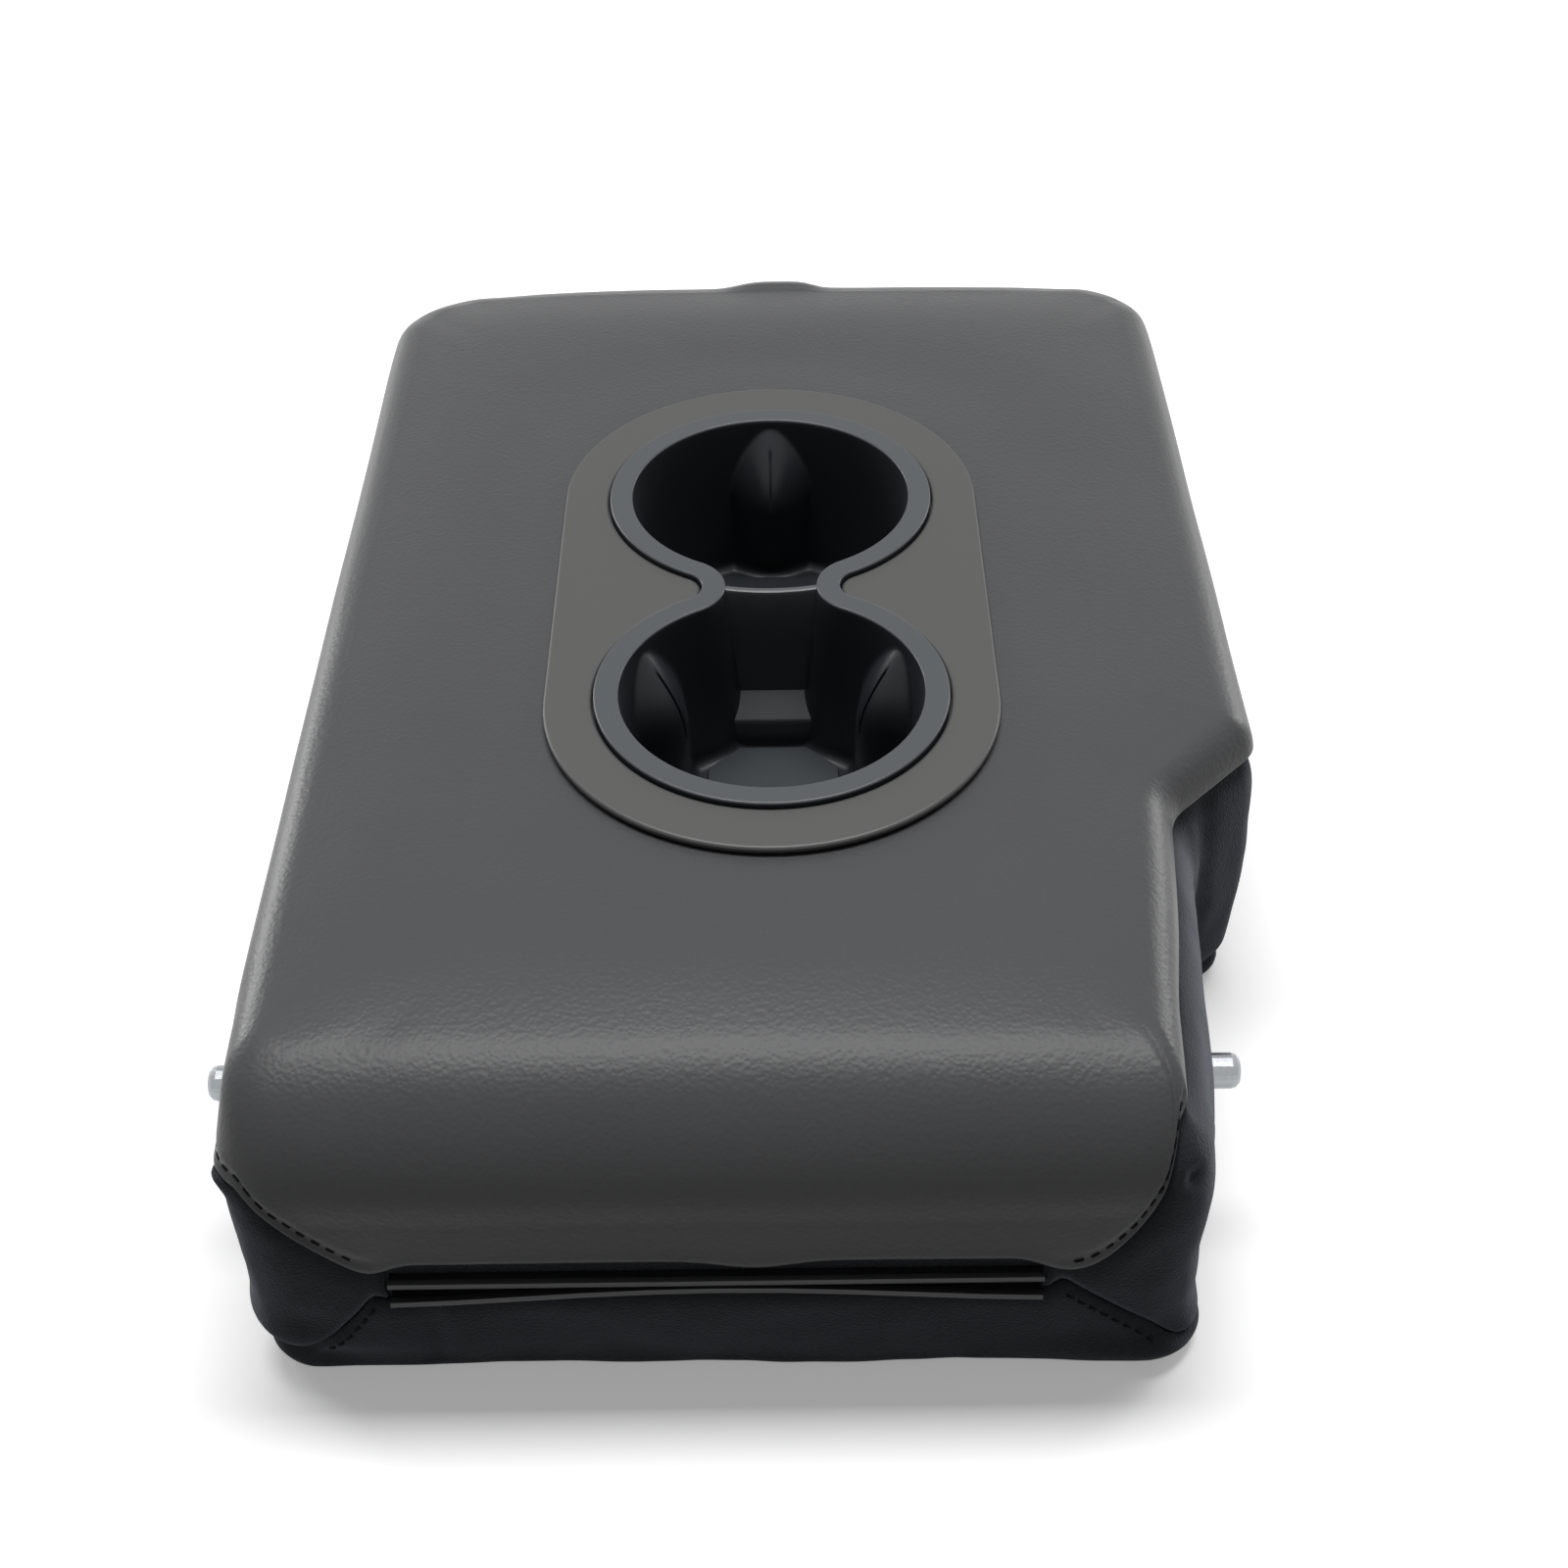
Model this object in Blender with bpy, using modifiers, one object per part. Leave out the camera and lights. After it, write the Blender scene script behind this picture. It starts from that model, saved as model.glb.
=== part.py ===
"""A fold-down rear seat armrest with a twin cup holder, lying in its lowered position.

Metres, +Z up. X runs across the armrest, +Y towards its front edge and -Y towards its hinge end.
The origin lies on the resting face, in the middle of the whole armrest. The sizes below count
from a point between the two cups.
"""

import math

import bmesh
import bpy
from mathutils import Matrix, Vector

# Cup holder liner
cup_radius = 0.043
cup_spacing = 0.100
cup_depth = 0.053
cup_draft = math.radians(6.0)
neck_half_width = 0.0135
rim_width = 0.007
rim_thickness = 0.0035
rim_round = 0.0008
rim_above_bezel = 0.0013
insert_wall = 0.0025
floor_round = 0.0030

# Web between the cups
web_half_thickness = 0.0020
web_top_depth = 0.0040
web_step_depth = 0.0360
web_foot_half_thickness = 0.0090
web_foot_depth = 0.0420
web_bite = 0.0010

# Raised pad on each cup's floor
floor_pad_height = 0.0020
floor_pad_half_width = 0.0195
floor_pad_inner_y = 0.0100
floor_pad_outer_y = 0.0770
floor_pad_chamfer = 0.0095

# Flexible fingers inside each cup
finger_turns = (90.0, 216.5, 323.5)
finger_top_depth = 0.0045
finger_reach = 0.0105
finger_rise = 0.0220
finger_half_width = 0.0130
finger_slit_width = 0.0013
finger_slit_depth = 0.0028
finger_slit_top = 0.0100

# Bezel and tub of the cup holder
bezel_side_land = 0.014
bezel_end_land = 0.016
bezel_centre_y = -0.002
bezel_thickness = 0.0022
bezel_edge_round = 0.0008
bezel_overlap = 0.0045
bezel_opening_gap = 0.0004
insert_shift_y = -0.0015
tub_wall = 0.0025
tub_flange_thickness = 0.0024
tub_flange_gap = 0.0010
tub_clearance = 0.0045
tub_opening_gap = 0.0012
ear_half_spacing = 0.025
ear_width = 0.018
ear_thickness = 0.0030

# Padded body
left_wall = -0.1370
right_wall = 0.1385
step_wall = 0.1175
narrow_wall = 0.1078
hinge_end = -0.2115
front_end = 0.2080
front_bulge = 0.0030
left_front_taper = 0.0020
step_start = -0.0840
step_end = -0.0620
body_height = 0.098
body_crown = 0.002
widest_height = 0.055
left_hinge_round = 0.018
right_hinge_round = 0.016
left_front_round = 0.035
right_front_round = 0.030
step_round = 0.014
cover_thickness = 0.0030
seam_gap = 0.0004
slanted_seam_gap = 0.0023

# Edges of the cover pieces
side_seam_height = 0.086
hem_height = 0.0480
hem_left_start = -0.1000
hem_left_run = 0.0300
hem_right_start = 0.0700
hem_right_run = 0.0310
side_cut_length = 0.090
bottom_seam_height = 0.009
front_seam_setback = 0.010
closure_left = -0.0965
closure_right = 0.0665
closure_hem_height = 0.0505
closure_hem_sag = 0.0025
closure_end_step = 0.0015
flap_end_height = 0.0425
flap_seam_left = -0.1290
flap_seam_right = 0.1050
panel_end_gap = 0.0040

# Closure strips
strip_thickness = 0.0014
strip_bead = 0.0011
strip_proud = 0.0006
strip_flange = 0.0130
strip_end_gap = 0.0012
hem_to_strip = 0.0067
strip_spacing = 0.0070
flap_to_strip = 0.0018
lower_strip_bow = 0.0042

# Pivot
pivot_y = -0.149
pivot_height = 0.050
rod_radius = 0.00475
rod_left_overhang = 0.0119
rod_right_overhang = 0.0094
rod_end_round = 0.0024
bush_wall = 0.0018
bush_flange_radius = 0.0095
bush_flange_thickness = 0.0015
bush_inner_length = 0.0010
clip_radius = 0.0085
clip_thickness = 0.0012
clip_groove_depth = 0.0008
pivot_tube_radius = 0.0085
pivot_tube_wall = 0.0015
rod_hole_gap = 0.0008

# Steel frame
wire_radius = 0.005
wire_bend = 0.025
wire_front_y = 0.160
wire_lap = 0.014
bracket_setback = 0.0125
bracket_thickness = 0.0030
bracket_reach = 0.041
bracket_eye_radius = 0.0150
bracket_arm_half_height = 0.0100
plate_thickness = 0.0020
plate_width = 0.026
plate_flange = 0.007
plate_edge_gap = 0.0030

# Screws
screw_radius = 0.0025
screw_head_radius = 0.0048
screw_head_height = 0.0024
screw_length = 0.010
screw_hole_gap = 0.0003

# Pull strap on the front face
strap_centre = 0.002
strap_half_width = 0.0135
strap_thickness = 0.0016
strap_gap = 0.0003
strap_top_turn = math.radians(66.0)
strap_end_height = 0.034
strap_fold = 0.010

running_gap = 0.00007
seat_gap = 0.0003
foam_gap = 0.0018
corner_steps = 5
closure_steps = 10

# Levels and places that follow from the sizes above
top_height = body_height + body_crown
bezel_bottom = top_height + seat_gap
bezel_top = bezel_bottom + bezel_thickness
rim_top = bezel_top + rim_above_bezel
insert_flange_bottom = rim_top - rim_thickness
tub_top = min(insert_flange_bottom, bezel_bottom) - seat_gap
cup_floor = rim_top - cup_depth
insert_bottom = cup_floor - insert_wall
tub_floor = insert_bottom - seat_gap
tub_bottom = tub_floor - tub_wall
foam_depth = cover_thickness + foam_gap
foam_split = pivot_height
upper_strip_height = closure_hem_height - hem_to_strip
lower_strip_height = upper_strip_height - strip_spacing
flap_height = lower_strip_height - flap_to_strip
half_spacing = cup_spacing / 2
bezel_radius = cup_radius + rim_width + bezel_side_land
bezel_half_spacing = half_spacing + bezel_end_land - bezel_side_land
cover_hole_radius = bezel_radius - bezel_overlap
tub_flange_radius = cover_hole_radius - tub_flange_gap
tub_inner_radius = cup_radius + insert_wall + tub_clearance
tub_outer_radius = tub_inner_radius + tub_wall
plate_bottom = pivot_height + wire_radius + seat_gap
plate_top = plate_bottom + plate_thickness
ear_bottom = plate_top + seat_gap
ear_top = ear_bottom + ear_thickness
plate_offset = bezel_half_spacing + tub_outer_radius + plate_edge_gap + plate_width / 2
wall_at_pivot = narrow_wall + (step_wall - narrow_wall) * (pivot_y - hinge_end) / (step_start - hinge_end)
narrow_turn = math.pi / 2 - math.atan2(step_wall - narrow_wall, step_start - hinge_end)
hinge_run_start = left_wall + left_hinge_round
hinge_run_end = narrow_wall - right_hinge_round * math.tan(narrow_turn / 2)
rod_left = left_wall - rod_left_overhang
rod_right = wall_at_pivot + rod_right_overhang
left_bracket_x = left_wall + bracket_setback
right_bracket_x = wall_at_pivot - bracket_setback
wire_left = left_bracket_x + bracket_thickness + seat_gap + wire_radius
wire_right = right_bracket_x - bracket_thickness - seat_gap - wire_radius
bush_bore = rod_radius + running_gap
bush_radius = bush_bore + bush_wall
insert_place = Matrix.Translation((0.0, insert_shift_y, 0.0))

parts = None
cutters = None


def clear_scene():
    """An empty file with one collection for the armrest and one for its cutters."""
    global parts, cutters
    for old in list(bpy.data.objects):
        bpy.data.objects.remove(old)
    parts = bpy.data.collections.new("rear_seat_armrest")
    cutters = bpy.data.collections.new("cutters")
    bpy.context.scene.collection.children.link(parts)
    bpy.context.scene.collection.children.link(cutters)


def material(name, colour, roughness, metallic=0.0):
    """A plain Principled material, made once for each name."""
    found = bpy.data.materials.get(name)
    if found:
        return found
    made = bpy.data.materials.new(name)
    made.use_nodes = True
    shader = made.node_tree.nodes["Principled BSDF"]
    shader.inputs["Base Color"].default_value = (*colour, 1.0)
    shader.inputs["Roughness"].default_value = roughness
    shader.inputs["Metallic"].default_value = metallic
    return made


def leatherette():
    return material("charcoal_leatherette", (0.050, 0.051, 0.053), 0.55)


def knit():
    return material("black_knit", (0.014, 0.015, 0.017), 0.90)


def foam():
    return material("grey_foam", (0.45, 0.44, 0.40), 0.95)


def bezel_plastic():
    return material("grey_satin_plastic", (0.085, 0.085, 0.082), 0.50)


def soft_plastic():
    return material("blue_black_soft_plastic", (0.040, 0.048, 0.051), 0.42)


def black_plastic():
    return material("black_plastic", (0.018, 0.018, 0.019), 0.45)


def painted_steel():
    return material("black_painted_steel", (0.03, 0.03, 0.03), 0.40, 0.6)


def zinc():
    return material("zinc_plated_steel", (0.70, 0.71, 0.72), 0.25, 1.0)


def nylon():
    return material("white_nylon", (0.75, 0.74, 0.70), 0.45)


def add_object(name, mesh, finish=None):
    """A new object for a mesh: a part if it has a finish, and otherwise a cutter."""
    made = bpy.data.objects.new(name, mesh)
    if finish:
        mesh.materials.clear()
        mesh.materials.append(finish)
        parts.objects.link(made)
    else:
        made.hide_render = True
        made.display_type = "WIRE"
        cutters.objects.link(made)
    return made


def smooth_round(target, angle=35.0):
    target.data.shade_smooth()
    target.data.set_sharp_from_angle(angle=math.radians(angle))


def boolean(target, other, operation="DIFFERENCE"):
    step = target.modifiers.new(other.name, "BOOLEAN")
    step.operation = operation
    step.solver = "EXACT"
    step.object = other


def bake(target):
    """The object's modifiers made part of its mesh."""
    graph = bpy.context.evaluated_depsgraph_get()
    mesh = bpy.data.meshes.new_from_object(target.evaluated_get(graph))
    target.modifiers.clear()
    target.data = mesh


def fix_normals(target):
    shape = bmesh.new()
    shape.from_mesh(target.data)
    bmesh.ops.remove_doubles(shape, verts=shape.verts, dist=0.000001)
    bmesh.ops.recalc_face_normals(shape, faces=shape.faces)
    shape.to_mesh(target.data)
    shape.free()


def combine(target, tools, operation="DIFFERENCE"):
    """Several tools taken from the target, or joined to it, in one step that becomes part of its mesh."""
    group = bpy.data.collections.new(target.name + "_tools")
    cutters.children.link(group)
    for tool in tools:
        group.objects.link(tool)
    step = target.modifiers.new(group.name, "BOOLEAN")
    step.operation = operation
    step.solver = "EXACT"
    step.operand_type = "COLLECTION"
    step.collection = group
    bake(target)
    smooth_round(target, 40.0)


def box(name, low, high, finish=None):
    """A box between two corners."""
    mesh = bpy.data.meshes.new(name)
    shape = bmesh.new()
    bmesh.ops.create_cube(shape, size=1.0)
    size = [h - l for l, h in zip(low, high)]
    centre = [(h + l) / 2 for l, h in zip(low, high)]
    shape.transform(Matrix.Translation(centre) @ Matrix.Diagonal((*size, 1.0)))
    shape.to_mesh(mesh)
    shape.free()
    return add_object(name, mesh, finish)


def upright_cylinder(name, radius, x, y, low, high):
    mesh = bpy.data.meshes.new(name)
    shape = bmesh.new()
    place = Matrix.Translation((x, y, (low + high) / 2))
    bmesh.ops.create_cone(
        shape, cap_ends=True, segments=16, radius1=radius, radius2=radius, depth=high - low, matrix=place
    )
    shape.to_mesh(mesh)
    shape.free()
    return add_object(name, mesh)


def turned(name, profile, place, finish=None, steps=24):
    """A profile of (radius, height) points turned about Z and put in place. Off the axis it closes on itself."""
    mesh = bpy.data.meshes.new(name)
    shape = bmesh.new()
    ring = [shape.verts.new((r, 0.0, z)) for r, z in profile]
    closed = profile[0][0] > 0
    for first, second in zip(ring, ring[1:] + ring[:1] if closed else ring[1:]):
        shape.edges.new((first, second))
    shape.to_mesh(mesh)
    shape.free()
    made = add_object(name, mesh, finish)
    spin = made.modifiers.new("turn", "SCREW")
    spin.steps = steps
    spin.render_steps = steps
    spin.use_merge_vertices = True
    spin.merge_threshold = 0.00001
    spin.use_normal_calculate = True
    bake(made)
    fix_normals(made)
    made.data.transform(place)
    smooth_round(made)
    return made


def along_x(x):
    """The place of a turned piece on the pivot line, its height running towards +X from x."""
    return Matrix.Translation((x, pivot_y, pivot_height)) @ Matrix.Rotation(math.pi / 2, 4, "Y")


def flat_plate(name, outlines, low, high, finish=None):
    """Closed outlines, holes among them, filled and extruded from one height to another."""
    curve = bpy.data.curves.new(name + "_outline", "CURVE")
    curve.dimensions = "2D"
    curve.fill_mode = "BOTH"
    curve.extrude = (high - low) / 2
    for outline in outlines:
        spline = curve.splines.new("POLY")
        spline.points.add(len(outline) - 1)
        for point, place in zip(spline.points, outline):
            point.co = (place[0], place[1], 0.0, 1.0)
        spline.use_cyclic_u = True
    guide = bpy.data.objects.new(name + "_outline", curve)
    cutters.objects.link(guide)
    graph = bpy.context.evaluated_depsgraph_get()
    mesh = bpy.data.meshes.new_from_object(guide.evaluated_get(graph))
    bpy.data.objects.remove(guide)
    mesh.transform(Matrix.Translation((0.0, 0.0, (high + low) / 2)))
    made = add_object(name, mesh, finish)
    fix_normals(made)
    return made


def bar_along(name, points, radius, finish=None, resolution=2):
    """A round bar along a line of points, with closed ends."""
    curve = bpy.data.curves.new(name + "_path", "CURVE")
    curve.dimensions = "3D"
    curve.bevel_depth = radius
    curve.bevel_resolution = resolution
    curve.use_fill_caps = True
    spline = curve.splines.new("POLY")
    spline.points.add(len(points) - 1)
    for point, place in zip(spline.points, points):
        point.co = (*place, 1.0)
    guide = bpy.data.objects.new(name + "_path", curve)
    cutters.objects.link(guide)
    graph = bpy.context.evaluated_depsgraph_get()
    mesh = bpy.data.meshes.new_from_object(guide.evaluated_get(graph))
    bpy.data.objects.remove(guide)
    made = add_object(name, mesh, finish)
    fix_normals(made)
    smooth_round(made)
    return made


def loft(name, rows, finish=None, closed=False):
    """A solid through rings of points with equal counts, its two end rings filled unless it closes on itself."""
    mesh = bpy.data.meshes.new(name)
    shape = bmesh.new()
    grid = [[shape.verts.new(point) for point in row] for row in rows]
    count = len(grid[0])
    pairs = list(zip(grid, grid[1:]))
    if closed:
        pairs.append((grid[-1], grid[0]))
    else:
        shape.faces.new(list(reversed(grid[0])))
        shape.faces.new(grid[-1])
    for lower, upper in pairs:
        for i in range(count):
            j = (i + 1) % count
            shape.faces.new((lower[i], lower[j], upper[j], upper[i]))
    shape.to_mesh(mesh)
    shape.free()
    made = add_object(name, mesh, finish)
    fix_normals(made)
    return made


def section_loft(name, sections, finish=None):
    """A solid through (y, z) sections, each at its own x."""
    rows = [[(x, y, z) for y, z in outline] for x, outline in sections]
    return loft(name, rows, finish)


# The body's outline, with the section of each wall


class Side:
    """One straight side of the body: the shares at which it has stations and its wall's section."""

    def __init__(self, shares, top_roll, top_lean, bottom_roll, bottom_lean):
        self.shares = shares
        self.top_roll = top_roll
        self.top_lean = top_lean
        self.bottom_roll = bottom_roll
        self.bottom_lean = bottom_lean

    def inset(self, height, depth):
        """How far in the wall lies at a height, on a surface that is a depth inside the cover."""
        roll_centre = body_height - self.top_roll
        if height > roll_centre:
            reach = self.top_roll - depth
            rise = min(height - roll_centre, reach)
            return self.top_lean + self.top_roll - math.sqrt(reach**2 - rise**2)
        if height >= widest_height:
            share = (height - widest_height) / (roll_centre - widest_height)
            return depth + self.top_lean * share**2
        if height >= self.bottom_roll:
            share = (widest_height - height) / (widest_height - self.bottom_roll)
            return depth + self.bottom_lean * share**2
        reach = self.bottom_roll - depth
        drop = min(self.bottom_roll - height, reach)
        return self.bottom_lean + self.bottom_roll - math.sqrt(reach**2 - drop**2)


def even_shares(count):
    return [step / count for step in range(1, count)]


def hinge_places():
    """The x of each station along the straight of the hinge end, closely spaced round the closure's ends."""
    run = closure_right - closure_left
    between = [closure_left + run * step / closure_steps for step in range(closure_steps + 1)]
    left = [closure_left - panel_end_gap, closure_left - closure_end_step]
    right = [closure_right + closure_end_step, closure_right + panel_end_gap]
    left = [(hinge_run_start + left[0]) / 2] + left
    right.append((hinge_run_end + right[-1]) / 2)
    return left + between + right


def hinge_shares():
    run = hinge_run_end - hinge_run_start
    return [(x - hinge_run_start) / run for x in hinge_places()]


hinge_side = Side(hinge_shares(), 0.034, 0.001, 0.006, 0.006)
narrow_side = Side(even_shares(4), 0.011, 0.0095, 0.006, 0.001)
step_side = Side([], 0.011, 0.003, 0.007, 0.003)
right_side = Side(even_shares(6), 0.011, 0.0035, 0.008, 0.004)
front_side = Side(even_shares(8), 0.020, 0.002, 0.008, 0.005)
left_side = Side(even_shares(8), 0.011, 0.0026, 0.006, 0.004)

# Each corner, with the side that starts there, anticlockwise from the hinge end's left corner
corners = [
    (Vector((left_wall, hinge_end)), left_hinge_round, hinge_side),
    (Vector((narrow_wall, hinge_end)), right_hinge_round, narrow_side),
    (Vector((step_wall, step_start)), step_round, step_side),
    (Vector((right_wall, step_end)), step_round, right_side),
    (Vector((right_wall, front_end)), right_front_round, front_side),
    (Vector((left_wall + left_front_taper, front_end)), left_front_round, left_side),
]
front_right_corner = 4
front_left_corner = 5


def direction(index):
    """The unit direction of the side that starts at a corner."""
    start = corners[index][0]
    end = corners[(index + 1) % len(corners)][0]
    return (end - start).normalized()


def outward(index):
    along = direction(index)
    return Vector((along.y, -along.x))


def corner_fillet(index, height, depth):
    """A corner's fillet on the moved walls: its centre, signed radius and two tangent points."""
    place, radius, side = corners[index]
    before = corners[index - 1][2]
    first, second = outward(index - 1), outward(index)
    first_inset = before.inset(height, depth)
    second_inset = side.inset(height, depth)
    level = Matrix((first, second))
    reach = Vector((first.dot(place) - first_inset, second.dot(place) - second_inset))
    moved = level.inverted() @ reach
    turn = math.acos(max(-1.0, min(1.0, first.dot(second))))
    convex = direction(index - 1).cross(direction(index)) > 0
    smaller = min(first_inset, second_inset)
    fillet = max(radius - smaller, radius / 3) if convex else radius + smaller
    run = fillet * math.tan(turn / 2)
    start = moved - direction(index - 1) * run
    end = moved + direction(index) * run
    sign = 1.0 if convex else -1.0
    return start - first * fillet * sign, fillet * sign, start, end


def all_stations():
    """The places round the outline, each on a corner or a side at a share of its length."""
    found = []
    for index, (_, _, side) in enumerate(corners):
        found += [("corner", index, step / corner_steps) for step in range(corner_steps + 1)]
        found += [("side", index, share) for share in side.shares]
    return found


stations = all_stations()


def shared(station, read):
    """A side's value at a station, blended between two sides along a corner."""
    kind, index, share = station
    if kind == "side":
        return read(corners[index][2])
    return read(corners[index - 1][2]) * (1 - share) + read(corners[index][2]) * share


def skin_point(station, height, depth=0.0):
    """A point on the body's wall at a station and height, a depth inside the cover."""
    kind, index, share = station
    if kind == "corner":
        centre, radius, _, _ = corner_fillet(index, height, depth)
        first, second = outward(index - 1), outward(index)
        turn = math.atan2(first.cross(second), first.dot(second)) * share
        place = centre + Matrix.Rotation(turn, 2) @ first * radius
    else:
        start = corner_fillet(index, height, depth)[3]
        end = corner_fillet((index + 1) % len(corners), height, depth)[2]
        place = start.lerp(end, share)
        if index == front_right_corner:
            place.y += front_bulge * math.sin(math.pi * share)
    return Vector((place.x, place.y, height))


def stadium_reach(angle, radius, half_length):
    """Where a ray from a stadium's middle at an angle leaves it. The stadium lies along Y."""
    along = Vector((math.cos(angle), math.sin(angle)))
    if abs(along.x) > 1e-9:
        flat = along * (radius / abs(along.x))
        if abs(flat.y) <= half_length:
            return flat
    centre_y = math.copysign(half_length, along.y)
    forward = along.y * centre_y
    return along * (forward + math.sqrt(forward**2 - half_length**2 + radius**2))


def top_point(station, share, depth):
    """A point on the crowned top, from the end of the edge roll (0) to the cup holder's hole (1)."""
    outer = skin_point(station, body_height - depth, depth)
    middle = Vector((0.0, bezel_centre_y))
    ray = outer.xy - middle
    inner = middle + stadium_reach(math.atan2(ray.y, ray.x), cover_hole_radius, bezel_half_spacing)
    place = outer.xy.lerp(inner, share)
    rise = body_crown * (1 - (1 - share) ** 2)
    return Vector((place.x, place.y, body_height - depth + rise))


def smooth_step(value):
    value = max(0.0, min(1.0, value))
    return value * value * (3 - 2 * value)


def on_front(station):
    """Whether a station lies on the front face or one of its corners."""
    kind, index, _ = station
    return index == front_right_corner or (kind == "corner" and index == front_left_corner)


def strip_bow(x):
    """How far the lower closure strip bows up at an x."""
    share = (x - closure_left) / (closure_right - closure_left)
    return lower_strip_bow * math.sin(math.pi * max(0.0, min(1.0, share))) ** 1.5


def leather_edge(station):
    """The height of the top cover's lower edge: level along the sides, and down to a hem at the hinge end."""
    place = skin_point(station, widest_height)
    if on_front(station):
        return bottom_seam_height + seam_gap
    if place.y > hinge_end + left_hinge_round:
        return side_seam_height
    if closure_left - closure_end_step / 2 < place.x < closure_right + closure_end_step / 2:
        share = (place.x - closure_left) / (closure_right - closure_left)
        return closure_hem_height - closure_hem_sag * math.sin(math.pi * share) ** 4
    from_left = min(1.0, max(0.0, hem_left_start - place.x) / hem_left_run) ** 2
    from_right = min(1.0, max(0.0, place.x - hem_right_start) / hem_right_run) ** 3
    return hem_height + (side_seam_height - hem_height) * max(from_left, from_right)


def under_edge(station):
    """The height of the bottom panel's upper edge, which climbs to the closure at the hinge end."""
    place = skin_point(station, widest_height)
    if place.y > hinge_end + left_hinge_round * 0.7:
        return bottom_seam_height
    if closure_left - closure_end_step / 2 < place.x < closure_right + closure_end_step / 2:
        return flap_height + strip_bow(place.x)
    if closure_left - panel_end_gap / 2 < place.x < closure_right + panel_end_gap / 2:
        return hem_height - seam_gap
    left_share = (place.x - flap_seam_left) / (closure_left - panel_end_gap - flap_seam_left)
    right_share = (flap_seam_right - place.x) / (flap_seam_right - closure_right - panel_end_gap)
    climb = max(0.0, min(1.0, left_share, right_share))
    return bottom_seam_height + (flap_end_height - bottom_seam_height) * climb


def roll_heights(station, depth, count, edge=0.0):
    """Heights up the top roll at a station, from where it leaves the wall, or just above an edge, to the top."""
    roll = shared(station, lambda side: side.top_roll)
    middle = body_height - roll
    reach = roll - depth
    first = math.asin(min(0.95, max(0.0, edge + 0.002 - middle) / reach))
    turns = [first + (math.pi / 2 - first) * step / count for step in range(count + 1)]
    return [middle + reach * math.sin(turn) for turn in turns]


def make_top_cover():
    """The sewn leatherette cover: the top, its rolled edges, the front face and the hinge end's hem."""
    rings = []
    for station in stations:
        ring = []
        edge = leather_edge(station)
        for depth in (0.0, cover_thickness):
            rolls = roll_heights(station, depth, 5, edge)
            heights = [edge + (rolls[0] - edge) * share for share in (0.0, 0.3, 0.65)] + rolls
            points = [skin_point(station, height, depth) for height in heights]
            points += [top_point(station, share, depth) for share in (0.5, 1.0)]
            ring += points if depth == 0.0 else reversed(points)
        rings.append(ring)
    cover = loft("top_cover", rings, leatherette(), closed=True)
    seam = front_end - front_seam_setback
    low = (left_wall - 0.01, seam - side_cut_length, -0.01)
    high = (right_wall + 0.01, seam, side_seam_height + seam_gap / 2)
    combine(cover, [box("side_openings", low, high)])


def side_panel(name, run):
    """A knit panel between the top cover's edge and the bottom panel, along a run of stations."""
    rings = []
    for station in run:
        high = side_seam_height if on_front(station) else leather_edge(station)
        low = under_edge(station)
        high -= slanted_seam_gap if high < side_seam_height else seam_gap
        low += slanted_seam_gap if low > bottom_seam_height else seam_gap
        heights = [low + (high - low) * share for share in (0.0, 0.22, 0.44, 0.6, 0.72, 0.82, 0.91, 1.0)]
        outer = [skin_point(station, height) for height in heights]
        inner = [skin_point(station, height, cover_thickness) for height in reversed(heights)]
        rings.append(outer + inner)
    return loft(name, rings, knit())


def make_side_panels():
    """Both knit side panels, each with its hole for the pivot rod."""
    shares = hinge_side.shares
    closure_first = stations.index(("side", 0, shares[1]))
    closure_last = stations.index(("side", 0, shares[-2]))
    right_end = stations.index(("corner", front_right_corner, 3 / corner_steps))
    left_start = stations.index(("corner", front_left_corner, 2 / corner_steps))
    left = side_panel("left_side_panel", stations[left_start:] + stations[: closure_first + 1])
    right = side_panel("right_side_panel", stations[closure_last : right_end + 1])
    radius = rod_radius + rod_hole_gap
    hole = rod_cutter("rod_holes", radius, rod_left, rod_right)
    low = (left_wall - 0.01, front_end - front_seam_setback - seam_gap, -0.01)
    past_seam = box("past_side_seams", low, (right_wall + 0.01, front_end + 0.01, body_height))
    combine(left, [hole, past_seam])
    combine(right, [hole, past_seam])


def rod_cutter(name, radius, low, high):
    return turned(name, [(0.0, 0.0), (radius, 0.0), (radius, high - low), (0.0, high - low)], along_x(low), None, 16)


def bottom_heights(high, depth):
    """Heights from the resting face up to an edge, closer together round the bottom roll."""
    rise = bottom_seam_height - depth
    bend = depth + rise * 0.4
    return [depth, depth + rise * 0.12, bend, bend + (high - bend) / 2, high]


def make_bottom_panel():
    """The knit panel under the armrest, with its flap up to the closure at the hinge end."""
    outer = [[] for _ in range(5)]
    inner = [[] for _ in range(5)]
    for station in stations:
        high = under_edge(station)
        for row, height in zip(outer, bottom_heights(high, 0.0)):
            row.append(skin_point(station, height))
        for row, height in zip(inner, bottom_heights(high, cover_thickness)):
            row.append(skin_point(station, height, cover_thickness))
    smooth_round(loft("bottom_panel", outer + list(reversed(inner)), knit()), 50.0)


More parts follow.
